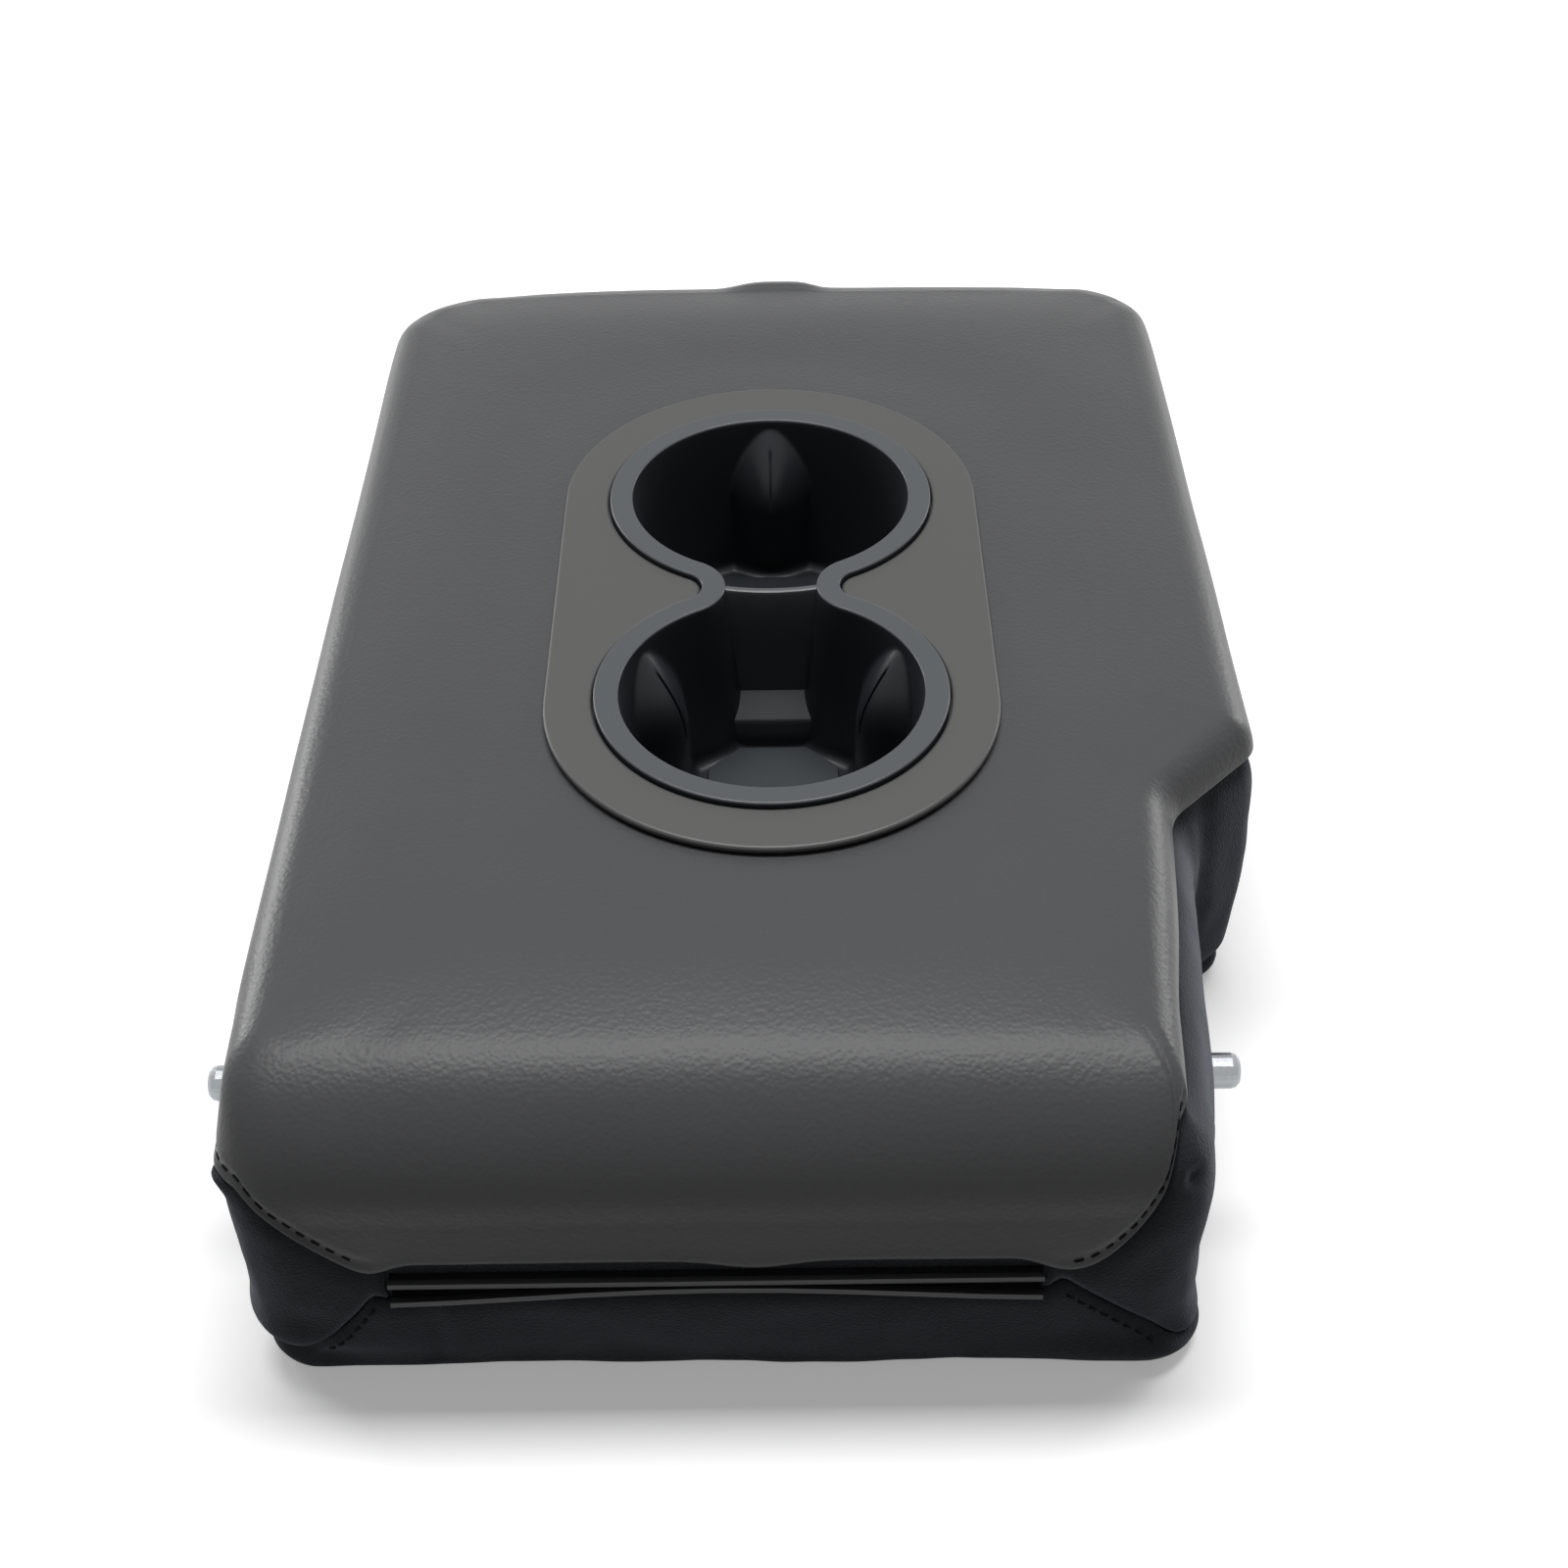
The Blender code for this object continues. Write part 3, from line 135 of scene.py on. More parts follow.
def skinPoint(column, height, depth=0.0):
    kind, index, share = column
    if kind == "corner":
        centre, radius, _, _ = fillet(index, height, depth)
        first, second = outward(index - 1), outward(index)
        turn = math.atan2(first.cross(second), first.dot(second)) * share
        place = centre + Matrix.Rotation(turn, 2) @ first * radius
    else:
        place = fillet(index, height, depth)[3].lerp(fillet((index + 1) % 6, height, depth)[2], share)
        if index == 4:
            place.y += body["frontBulge"] * math.sin(math.pi * share)
    return Vector((place.x, place.y, height))


def makeColumns():
    found = []
    for index in range(6):
        found += [("corner", index, step / cornerSteps) for step in range(cornerSteps + 1)]
        start = fillet(index, body["widest"], 0.0)[3]
        end = fillet((index + 1) % 6, body["widest"], 0.0)[2]
        length = (end - start).length
        if index == 0:
            stops = [start.x, body["closureLeft"], body["closureRight"], end.x]
            places = []
            for low, high in zip(stops, stops[1:]):
                count = max(1, round((high - low) / fineSpacing))
                places += [low + (high - low) * step / count for step in range(count)]
            shares = [(x - start.x) / (end.x - start.x) for x in places[1:]]
        else:
            count = max(1, round(length / (fineSpacing if index < 3 else plainSpacing)))
            shares = [step / count for step in range(1, count)]
        found += [("side", index, share) for share in shares]
    return found


columns = makeColumns()
columnCount = len(columns)
widePoints = [skinPoint(column, body["widest"]) for column in columns]


def smooth(value):
    value = max(0.0, min(1.0, value))
    return value * value * (3 - 2 * value)


def isFront(column):
    kind, index, _ = column
    return index == 4 or (kind == "corner" and index == 5)


def inClosure(x):
    return body["closureLeft"] - 0.0005 < x < body["closureRight"] + 0.0005


# The leather's hem: its lobes beside the closure, its sag and its climb at both near corners
hemRun = {
    "drop": 0.002, "lobeLeft": -0.1030, "lobeLeftRun": 0.0140, "lobeRight": 0.0715,
    "lobeRightRun": 0.0135, "sagPlace": 0.56, "sagWidth": 0.07, "leftStart": -0.0985,
    "leftRun": 0.0315, "leftPower": 1.25, "rightStart": 0.0720, "rightRun": 0.0275,
    "rightPower": 1.9, "shoulder": 0.0032, "shoulderX": 0.1075, "shoulderBack": 0.0105,
    "shoulderReach": 0.0130,
}


# The height of the leather's lower edge
def leatherEdge(column, place):
    corner = body["hingeEnd"] + body["leftHingeRound"]
    if isFront(column) or place.y > corner:
        drop = 1 - smooth((place.y - corner) / body["earRun"]) if place.x < 0 else 0.0
        return body["sideSeam"] - (body["sideSeam"] - body["ear"]) * drop + rightShoulder(place)
    low = body["hem"] - hemRun["drop"]
    leftLobe = smooth((place.x - hemRun["lobeLeft"]) / hemRun["lobeLeftRun"])
    rightLobe = smooth((hemRun["lobeRight"] - place.x) / hemRun["lobeRightRun"])
    lobe = min(leftLobe, rightLobe)
    dip = body["closureSag"] * math.exp(-(((closureShare(place.x) - hemRun["sagPlace"]) / hemRun["sagWidth"]) ** 2))
    leftClimb = min(1.0, max(0.0, hemRun["leftStart"] - place.x) / hemRun["leftRun"]) ** hemRun["leftPower"]
    rightClimb = min(1.0, max(0.0, place.x - hemRun["rightStart"]) / hemRun["rightRun"]) ** hemRun["rightPower"]
    found = low + (body["closureHem"] - low) * lobe - dip
    found += (body["ear"] - low) * leftClimb + (body["sideSeam"] - low) * rightClimb
    return found + rightShoulder(place)


# The leather's edge stands higher round the right near corner
def rightShoulder(place):
    away = math.hypot(place.x - hemRun["shoulderX"], place.y - body["hingeEnd"] - hemRun["shoulderBack"])
    return hemRun["shoulder"] * math.exp(-((away / hemRun["shoulderReach"]) ** 2))


# The slanted seams from the closure's ends down to the near corners
slants = {"left": -0.1290, "leftPower": 1.8, "right": 0.1050, "rightPower": 1.15}


def closureShare(x):
    return (x - body["closureLeft"]) / (body["closureRight"] - body["closureLeft"])


def stripBow(x):
    return body["stripBow"] * math.sin(math.pi * max(0.0, min(1.0, closureShare(x)))) ** 1.5


# The height of the bottom panel's upper edge
def underEdge(column, place):
    if isFront(column) or place.y > body["hingeEnd"] + body["leftHingeRound"] * 0.9:
        return body["bottomSeam"]
    if inClosure(place.x):
        return body["flap"] + stripBow(place.x)
    leftShare = (place.x - slants["left"]) / (body["closureLeft"] - slants["left"])
    rightShare = (slants["right"] - place.x) / (slants["right"] - body["closureRight"])
    power = slants["leftPower"] if place.x < 0 else slants["rightPower"]
    climb = max(0.0, min(1.0, leftShare, rightShare)) ** power
    return body["bottomSeam"] + (body["flapEnd"] - body["bottomSeam"]) * climb


def stadiumReach(angle, radius, half):
    along = Vector((math.cos(angle), math.sin(angle)))
    if abs(along.x) > 1e-9:
        flat = along * (radius / abs(along.x))
        if abs(flat.y) <= half:
            return flat
    centre = math.copysign(half, along.y)
    forward = along.y * centre
    return along * (forward + math.sqrt(forward**2 - half**2 + radius**2))


def topPoint(column, share):
    outer = skinPoint(column, body["height"])
    middle = Vector((0.0, body["bezelY"]))
    ray = outer.xy - middle
    inner = middle + stadiumReach(math.atan2(ray.y, ray.x), body["holeRadius"], body["bezelHalf"])
    place = outer.xy.lerp(inner, share)
    return Vector((place.x, place.y, body["height"] + body["crown"] * (1 - (1 - share) ** 2)))


# The skin: one grid of points, rows from the middle of the underside to the cup holder's hole
rowCounts = {"under": 6, "bottomRoll": 6, "lower": 10, "side": 34, "wall": 9, "roll": 13, "top": 10}
wallRise = 0.0085  # from the leather's edge to the start of the top roll


def makeGrid():
    rows = []
    count = rowCounts

    def addRow(heights):
        rows.append([skinPoint(c, height) for c, height in zip(columns, heights)])

    for step in range(count["under"]):
        share = (step + 0.4) / count["under"]
        rows.append([skinPoint(c, 0.0).lerp(Vector((0.0, 0.0, 0.0)), 1 - share ** 0.7) for c in columns])
    bottomRolls = [blended(c, 2) for c in columns]
    for step in range(count["bottomRoll"]):
        turn = math.pi / 2 * step / count["bottomRoll"]
        addRow(roll * (1 - math.cos(turn)) for roll in bottomRolls)
    edges = [leatherEdge(c, p) for c, p in zip(columns, widePoints)]
    unders = [underEdge(c, p) for c, p in zip(columns, widePoints)]
    for step in range(count["lower"]):
        share = step / count["lower"]
        addRow(roll + (max(under, roll + 0.001) - roll) * share for roll, under in zip(bottomRolls, unders))
    marks = {"under": len(rows)}
    for step in range(count["side"]):
        share = step / count["side"]
        addRow(under + (edge - under) * share for under, edge in zip(unders, edges))
    marks["edge"] = len(rows)
    topRolls = [blended(c, 0) for c in columns]
    starts = [min(max(edge + wallRise, body["height"] - roll), body["height"] - 0.0015)
              for edge, roll in zip(edges, topRolls)]
    for step in range(count["wall"]):
        share = step / count["wall"]
        addRow(edge + (start - edge) * share for edge, start in zip(edges, starts))
    for step in range(count["roll"]):
        heights = []
        for start, roll in zip(starts, topRolls):
            middle = body["height"] - roll
            first = math.asin(min(0.97, (start - middle) / roll))
            turn = first + (math.pi / 2 - first) * step / count["roll"]
            heights.append(middle + roll * math.sin(turn))
        addRow(heights)
    marks["top"] = len(rows)
    for step in range(count["top"] + 1):
        rows.append([topPoint(c, (step / count["top"]) ** 0.85) for c in columns])
    return np.array([[tuple(p) for p in row] for row in rows]), marks


def blended(column, which):
    kind, index, share = column
    if kind == "side":
        return corners[index][2][which]
    return corners[index - 1][2][which] * (1 - share) + corners[index][2][which] * share


grid, marks = makeGrid()
grid += np.array(shift)
rowCount = len(grid)
print("skin grid", grid.shape, marks)


def addObject(name, data):
    made = bpy.data.objects.new(name, data)
    bpy.context.scene.collection.objects.link(made)
    return made


def finished(name, shape):
    mesh = bpy.data.meshes.new(name)
    shape.to_mesh(mesh)
    shape.free()
    return addObject(name, mesh)


# Rings of points joined into a closed skin, with a cap at each end
def addRings(shape, rings):
    verts = [[shape.verts.new(point) for point in ring] for ring in rings]
    count = len(verts[0])
    for lower, upper in zip(verts, verts[1:]):
        for i in range(count):
            j = (i + 1) % count
            shape.faces.new((lower[i], lower[j], upper[j], upper[i]))
    shape.faces.new(list(reversed(verts[0])))
    shape.faces.new(verts[-1])


def ringsMesh(name, rings, place=Vector((0.0, 0.0, 0.0))):
    shape = bmesh.new()
    addRings(shape, [[Vector(point) + place for point in ring] for ring in rings])
    bmesh.ops.recalc_face_normals(shape, faces=shape.faces)
    return finished(name, shape)


def nearestTree(places):
    tree = KDTree(len(places))
    for number, place in enumerate(places):
        tree.insert(place, number)
    tree.balance()
    return tree


def evaluated(made):
    return made.evaluated_get(bpy.context.evaluated_depsgraph_get())


def applyAll(made):
    mesh = bpy.data.meshes.new_from_object(evaluated(made))
    made.modifiers.clear()
    made.data = mesh


def smoothed(made, sharpTurn):
    made.data.shade_smooth()
    made.data.set_sharp_from_angle(angle=math.radians(sharpTurn))
    return made


# Padding: a closed copy of the skin is blown up as cloth, held at its seams
padding = {
    "voxel": 0.006, "frames": 20, "cap": 0.006, "gain": 0.55, "seamHalf": 0.003, "seamReach": 0.007,
    "restHeight": 0.004,
}
clothValues = {
    "vertex_group_mass": "held",
    "use_pressure": True,
    "uniform_pressure_force": 4.0,
    "quality": 6,
    "tension_stiffness": 25.0,
    "compression_stiffness": 25.0,
    "bending_stiffness": 1.5,
}


# How far each point of the grid swells when the closed skin is put under pressure
def blowUp():
    pad = ringsMesh("pad", grid)
    remesh = pad.modifiers.new("even", "REMESH")
    remesh.mode = "VOXEL"
    remesh.voxel_size = padding["voxel"]
    applyAll(pad)
    seamRows = (marks["edge"], marks["under"], rowCount - 1, rowCount - 4)
    tree = nearestTree([place for row in seamRows for place in grid[row]])
    held = pad.vertex_groups.new(name="held")
    for vert in pad.data.vertices:
        resting = vert.co.z < padding["restHeight"]
        apart = 0.0 if resting else tree.find(vert.co)[2]
        weight = 1 - smooth((apart - padding["seamHalf"]) / padding["seamReach"])
        held.add([vert.index], weight, "REPLACE")
    rest = np.array([tuple(v.co) for v in pad.data.vertices])
    cloth = pad.modifiers.new("cloth", "CLOTH")
    for name, value in clothValues.items():
        setattr(cloth.settings, name, value)
    cloth.settings.effector_weights.gravity = 0.0
    scene = bpy.context.scene
    for number in range(1, padding["frames"] + 1):
        scene.frame_set(number)
    moved = np.array([tuple(v.co) for v in evaluated(pad).data.vertices])
    scene.frame_set(1)
    swell = moved - rest
    length = np.linalg.norm(swell, axis=1, keepdims=True)
    swell *= np.minimum(1.0, padding["cap"] / np.maximum(length, 1e-9)) * padding["gain"]
    tree = nearestTree(rest)
    found = np.zeros_like(grid)
    for r in range(rowCount):
        for c in range(columnCount):
            near = tree.find_n(grid[r, c], 6)
            weights = [1 / (distance + 0.0015) ** 2 for _, _, distance in near]
            total = sum(weights)
            found[r, c] = sum(swell[number] * weight for (_, number, _), weight in zip(near, weights)) / total
    bpy.data.objects.remove(pad)
    return found


swell = blowUp()
print("padding done, most swell %.4f" % np.abs(swell).max())


# Distance up the skin from each seam, for grooves and tucks
steps = np.linalg.norm(np.diff(grid, axis=0), axis=2)
run = np.concatenate([np.zeros((1, columnCount)), np.cumsum(steps, axis=0)])
fromEdge = run - run[marks["edge"]]
fromUnder = run - run[marks["under"]]
# Normals of the grid, for moving it in and out
normals = np.cross(np.roll(grid, -1, axis=1) - np.roll(grid, 1, axis=1), np.gradient(grid, axis=0))
normals /= np.maximum(np.linalg.norm(normals, axis=2, keepdims=True), 1e-12)


def noiseField(scale, seed, stretch=(1.0, 1.0, 1.0)):
    offset = Vector((seed, seed * 1.7, -seed))
    places = [[Vector(point) * scale + offset for point in row] for row in grid * stretch]
    return np.array([[noise.noise(place) for place in row] for row in places])


# The pull strap at the front: a flat loop of leatherette with soft edges
strap = {
    "centre": 0.002, "half": 0.0150, "thickness": 0.0016, "gap": 0.0003, "topTurn": 40.0,
    "end": 0.034, "fold": 0.010, "riseEnd": 0.0060, "riseTurns": (20.0, 25.0, 92.0, 16.0),
}
frontMiddle = (
    body["frontEnd"] + body["frontBulge"] - frontSide[1] - frontSide[0],
    body["height"] - frontSide[0],
)

# Stitches: short threads along the leather's edge at the near corners and beside the slanted seams
stitch = {
    "pitch": 0.0043, "length": 0.0031, "radius": 0.00040, "inboard": 0.0030, "slantAway": 0.0040,
    "slantLow": 0.014, "slantShort": 0.002, "sink": 0.00010, "leftDepth": 0.030,
    "rightDepth": 0.009,
}

# How the covers lie: leather stands a little proud at its edge, knit tucks in under it
lie = {
    "leatherProud": 0.0009, "proudReach": 0.006, "groove": 0.0009, "grooveWidth": 0.0011,
    "knitTuck": 0.0022, "tuckReach": 0.0050, "leatherWave": 0.0005, "knitWave": 0.0011,
    "knitRipple": 0.0004, "seamTuck": 0.0020, "seamTuckWidth": 0.0022, "bezelDip": 0.0003,
    "bezelStart": 0.0045, "bezelFade": 0.007, "leftCornerPull": 0.0010,
    "leftCornerReach": (0.030, 0.045), "rightEdgePull": 0.0028,
    "rightEdgeReach": (0.020, 0.030, 0.012), "rightEdgeLong": 0.040, "farSag": 0.0004,
    "farStart": 0.012, "farFade": 0.020, "farCornerSag": 0.0012, "farCornerReach": 0.030,
    "farLeftIn": 0.018, "leftNear": 0.030, "rightNear": 0.034, "narrowEnd": -0.130,
    "narrowFade": 0.030, "frontStart": 0.008, "frontFade": 0.006, "strapRise": 0.0024,
    "strapHalf": 0.0160,
}
# Each pull and swelling near the corners: its size, the height of its middle and its reach up and down
pulls = {
    "leftPull": (0.0026, 0.045, 0.026),
    "leftFoot": (0.0022, 0.019, 0.006),
    "leftTuck": (0.0022, 0.011, 0.005),
    "rightPull": (0.0034, 0.038, 0.032),
    "rightFoot": (0.0044, 0.008, 0.006),
    "narrowPuff": (0.0012, 0.060, 0.018),
    "frontHollow": (0.0018, 0.058, 0.014),
}


def bump(value, width):
    return np.exp(-((value / width) ** 2))


def fadePast(value, width):
    return bump(np.maximum(value, 0.0), width)


# The leather lies over the strap's root: a low flat-topped bump across the front roll
def strapRise():
    local = grid - np.array(shift)
    across = np.clip((lie["strapHalf"] - np.abs(local[..., 0] - strap["centre"])) / strap["riseEnd"], 0.0, 1.0)
    across = across * across * (3 - 2 * across)
    turn = np.degrees(np.arctan2(local[..., 2] - frontMiddle[1], local[..., 1] - frontMiddle[0]))
    low, lowRun, high, highRun = strap["riseTurns"]
    along = np.clip((turn - low) / lowRun, 0.0, 1.0) * np.clip((high - turn) / highRun, 0.0, 1.0)
    return lie["strapRise"] * across * along * (local[..., 1] > 0.15)


def layCovers():
    leather = np.zeros(grid.shape[:2])
    knit = np.zeros(grid.shape[:2])
    x, y, height = np.moveaxis(grid - np.array(shift), 2, 0)
    above = np.maximum(fromEdge, 0.0)
    below = np.maximum(-fromEdge, 0.0)
    leather += lie["leatherProud"] * np.exp(-above / lie["proudReach"])
    leather -= lie["groove"] * bump(above - stitch["inboard"], lie["grooveWidth"]) * cornerShare()
    leather += lie["leatherWave"] * noiseField(14.0, 3.0)
    fromHole = run[-1] - run
    leather -= lie["bezelDip"] * fadePast(fromHole - lie["bezelStart"], lie["bezelFade"])
    leather += strapRise()
    wide, long = lie["leftCornerReach"]
    leather -= lie["leftCornerPull"] * (bump(x - body["leftWall"], wide) * bump(y - body["hingeEnd"], long))
    farEdge = fadePast(body["frontEnd"] - lie["farStart"] - y, lie["farFade"])
    cornerX = np.minimum(np.abs(x - body["leftWall"] - lie["farLeftIn"]), np.abs(x - body["rightWall"]))
    leather -= farEdge * (lie["farSag"] + lie["farCornerSag"] * bump(cornerX, lie["farCornerReach"]))
    knit -= lie["knitTuck"] * np.exp(-((below / lie["tuckReach"]) ** 1.5))
    knit -= lie["seamTuck"] * bump(fromUnder, lie["seamTuckWidth"])
    knit += lie["knitWave"] * noiseField(26.0, 8.0, (1.0, 1.0, 1.6)) * np.minimum(1.0, below / 0.01)
    knit += lie["knitRipple"] * noiseField(90.0, 5.0)
    wide, long, high = lie["rightEdgeReach"]
    besideRight = bump(x - body["narrowWall"], wide)
    back = fadePast(y - body["hingeEnd"] - lie["rightEdgeLong"], long)
    leather -= lie["rightEdgePull"] * besideRight * back * np.exp(-above / high)
    leftNear = bump(np.hypot(x - body["leftWall"], y - body["hingeEnd"]), lie["leftNear"])
    rightNear = bump(np.hypot(x - body["narrowWall"], y - body["hingeEnd"]), lie["rightNear"])
    pull = {name: size * bump(height - middle, reach) for name, (size, middle, reach) in pulls.items()}
    knit += leftNear * (pull["leftFoot"] - pull["leftTuck"] - pull["leftPull"])
    knit += rightNear * (pull["rightFoot"] - pull["rightPull"])
    narrow = fadePast(y - lie["narrowEnd"], lie["narrowFade"]) * besideRight * (1 - rightNear)
    knit += narrow * pull["narrowPuff"]
    leather -= fadePast(y - body["hingeEnd"] - lie["frontStart"], lie["frontFade"]) * pull["frontHollow"]
    return leather, knit


# 1 along the near corners, where the leather's edge is topstitched, and 0 elsewhere
def cornerShare():
    found = np.zeros(columnCount)
    for c, place in enumerate(widePoints):
        depth = stitch["leftDepth"] if place.x < 0 else stitch["rightDepth"]
        if place.y < body["hingeEnd"] + depth and not inClosure(place.x):
            found[c] = 1.0
    return found[None, :]


leatherLie, knitLie = layCovers()


# A fold pressed in along a line between two points
def crease(points, amount, line, width, length):
    start, end = np.array(line[0]) + np.array(shift), np.array(line[1]) + np.array(shift)
    along = end - start
    size = np.linalg.norm(along)
    share = ((points - start) @ along) / size**2
    nearest = start + np.clip(share, 0, 1)[..., None] * along
    distance = np.linalg.norm(points - nearest, axis=2)
    fade = np.clip(1.0 - np.maximum(0.0, np.abs(share - 0.5) - 0.5) / length, 0.0, 1.0)
    return -amount * bump(distance, width) * fade


# Depth (a ridge where it is below nought), the ends of the line, the width and the fade past the ends
knitCreases = (
    (0.0026, ((0.1000, -0.2060, 0.0740), (0.1066, -0.1890, 0.0665)), 0.0021, 0.3),
    (-0.0010, ((0.1000, -0.2030, 0.0790), (0.1050, -0.1860, 0.0715)), 0.0034, 0.3),
    (0.0018, ((-0.0860, -0.2110, 0.0330), (-0.0880, -0.2060, 0.0070)), 0.0016, 0.2),
    (0.0020, ((0.1200, -0.0780, 0.0800), (0.1200, -0.0780, 0.0200)), 0.0030, 0.4),
)
for depth, line, width, length in knitCreases:
    knitLie += crease(grid, depth, line, width, length)


def settled(liePart):
    return grid + swell + normals * liePart[..., None]


leatherSkin = settled(leatherLie)
knitSkin = settled(knitLie)

# The small ear of knit that stands out at the left near corner
ear = {"place": (-0.1345, -0.2000, 0.0740), "reach": 0.0055, "leather": 0.0008, "knit": 0.0048}
earShare = bump(np.linalg.norm(grid - (np.array(ear["place"]) + np.array(shift)), axis=2), ear["reach"])
leatherSkin += normals * (ear["leather"] * earShare)[..., None]
knitSkin += normals * (ear["knit"] * earShare)[..., None]
floorGap = 0.0003
leatherSkin[..., 2] = np.maximum(leatherSkin[..., 2], floorGap)
knitSkin[..., 2] = np.maximum(knitSkin[..., 2], floorGap)

frontSeamY = body["frontEnd"] - body["frontSeamBack"]
frontColumns = [c for c in range(columnCount) if widePoints[c].y > frontSeamY]
firstFront, lastFront = min(frontColumns), max(frontColumns)
closureColumns = [c for c in range(columnCount)
                  if columns[c][0] == "side" and columns[c][1] == 0 and inClosure(widePoints[c].x)]
closureFirst, closureLast = min(closureColumns), max(closureColumns)


# A thickened piece made of the grid's cells, given as (row, column) pairs
def faceGrid(name, points, cells, thickness):
    shape = bmesh.new()
    store = {}

    def vert(r, c):
        key = (r, c % columnCount)
        if key not in store:
            store[key] = shape.verts.new(points[r, c % columnCount])
        return store[key]

    for r, c in cells:
        shape.faces.new((vert(r, c), vert(r, c + 1), vert(r + 1, c + 1), vert(r + 1, c)))
    bmesh.ops.recalc_face_normals(shape, faces=shape.faces)
    centre = Vector((0.0, 0.0, 0.05))
    total = sum((face.calc_center_median() - centre).dot(face.normal) * face.calc_area() for face in shape.faces)
    if total < 0:
        bmesh.ops.reverse_faces(shape, faces=shape.faces)
    made = finished(name, shape)
    solid = made.modifiers.new("thickness", "SOLIDIFY")
    solid.thickness = thickness
    solid.offset = -1.0
    solid.use_even_offset = False
    soft = made.modifiers.new("soft", "SUBSURF")
    soft.levels = 1
    soft.render_levels = 1
    applyAll(made)
    made.data.shade_smooth()
    return made


# Column indices from first up to last, going round
def span(first, last):
    if last < first:
        last += columnCount
    return range(first, last)


def cellsOf(low, high, cols):
    return [(r, c) for r in range(low, high) for c in cols]


under, edge = marks["under"], marks["edge"]
coverCells = cellsOf(edge, rowCount - 1, range(columnCount)) + cellsOf(under, edge, span(firstFront, lastFront))
topCover = faceGrid("leatherCover", leatherSkin, coverCells, leatherThickness)
leftCells = cellsOf(under, edge, span(lastFront, closureFirst))
rightCells = cellsOf(under, edge, span(closureLast, firstFront))
leftPanel = faceGrid("leftKnit", knitSkin, leftCells, knitThickness)
rightPanel = faceGrid("rightKnit", knitSkin, rightCells, knitThickness)
backCells = cellsOf(under - 1, edge + 1, span(closureFirst - 1, closureLast + 1))
backing = {"depth": 0.0034, "thickness": 0.0010}
backSkin = settled(np.full(grid.shape[:2], -backing["depth"]))
closureBack = faceGrid("closureKnit", backSkin, backCells, backing["thickness"])
underPanel = faceGrid("underKnit", knitSkin, cellsOf(0, under, range(columnCount)), knitThickness)
print("covers", [len(o.data.polygons) for o in (topCover, leftPanel, rightPanel, underPanel)])


# The cup holder's liner: one smooth surface with its fingers blended in
liner = {
    "radius": 0.043, "spacing": 0.100, "depth": 0.053, "draft": 6.0, "neckHalf": 0.0135,
    "rim": 0.007, "rimThickness": 0.0035, "rimRound": 0.0006, "wall": 0.0025, "top": 0.1038,
    "shiftY": -0.0015, "floorRound": 0.0030, "steps": 220, "neckSteps": 24, "levels": 60,
}
finger = {
    "turns": (90.0, 210.0, 330.0), "top": 0.0035, "rise": 0.0230, "reach": 0.0108, "half": 0.0135,
    "slitHalf": 0.00040, "slitDepth": 0.0016, "slitTop": 0.0080, "slitEnd": 0.0300,
    "slitRuns": (0.004, 0.008), "slitRadius": 0.038, "reachLoss": 0.38, "halfLoss": 0.04,
}
halfSpacing = liner["spacing"] / 2
neckApart = liner["radius"] - liner["neckHalf"]
neckCentre = (halfSpacing**2 - neckApart**2) / (2 * neckApart)
neckDip = math.atan2(halfSpacing, neckCentre)


# The angles round a cup, closer together at each finger's slit
def cupTurns(sign):
    base = 0.0 if sign > 0 else math.pi
    start, reach = base - neckDip, math.pi + 2 * neckDip
    found = [start + reach * step / liner["steps"] for step in range(liner["steps"] + 1)]
    for turn in finger["turns"]:
        centre = math.radians(turn * sign)
        while centre < start:
            centre += 2 * math.pi
        while centre > start + 2 * math.pi:
            centre -= 2 * math.pi
        sides = (-0.0008, -0.0005, -0.0003, 0.0, 0.0003, 0.0005, 0.0008)
        extra = [centre + side / finger["slitRadius"] for side in sides]
        found = [a for a in found if abs(a - centre) > 0.0011 / finger["slitRadius"]] + extra
    return sorted(found)


# How far a finger stands in from the wall at an angle and depth
def fingerBump(turn, sign, depth, radius):
    if depth < finger["top"]:
        return 0.0
    share = (depth - finger["top"]) / finger["rise"]
    if share <= 1.0:
        reach = finger["reach"] * math.sin(math.pi / 2 * share)
        half = finger["half"] * math.sin(math.pi / 2 * (0.04 + 0.96 * share)) ** 0.75
    else:
        below = (depth - finger["top"] - finger["rise"]) / (liner["depth"] - finger["top"] - finger["rise"])
        reach = finger["reach"] * (1.0 - finger["reachLoss"] * below**1.5)
        half = finger["half"] * (1.0 - finger["halfLoss"] * below)
    best = 0.0
    for mark in finger["turns"]:
        apart = (turn - math.radians(mark * sign) + math.pi) % (2 * math.pi) - math.pi
        across = abs(apart) * radius
        if across < half:
            height = reach * (1 - (across / half) ** 2.2) ** 1.15
            runIn, runOut = finger["slitRuns"]
            ends = min(1.0, (depth - finger["slitTop"]) / runIn, (finger["slitEnd"] - depth) / runOut)
            if across < finger["slitHalf"] and ends > 0:
                height -= finger["slitDepth"] * ends
            best = max(best, height)
    return best


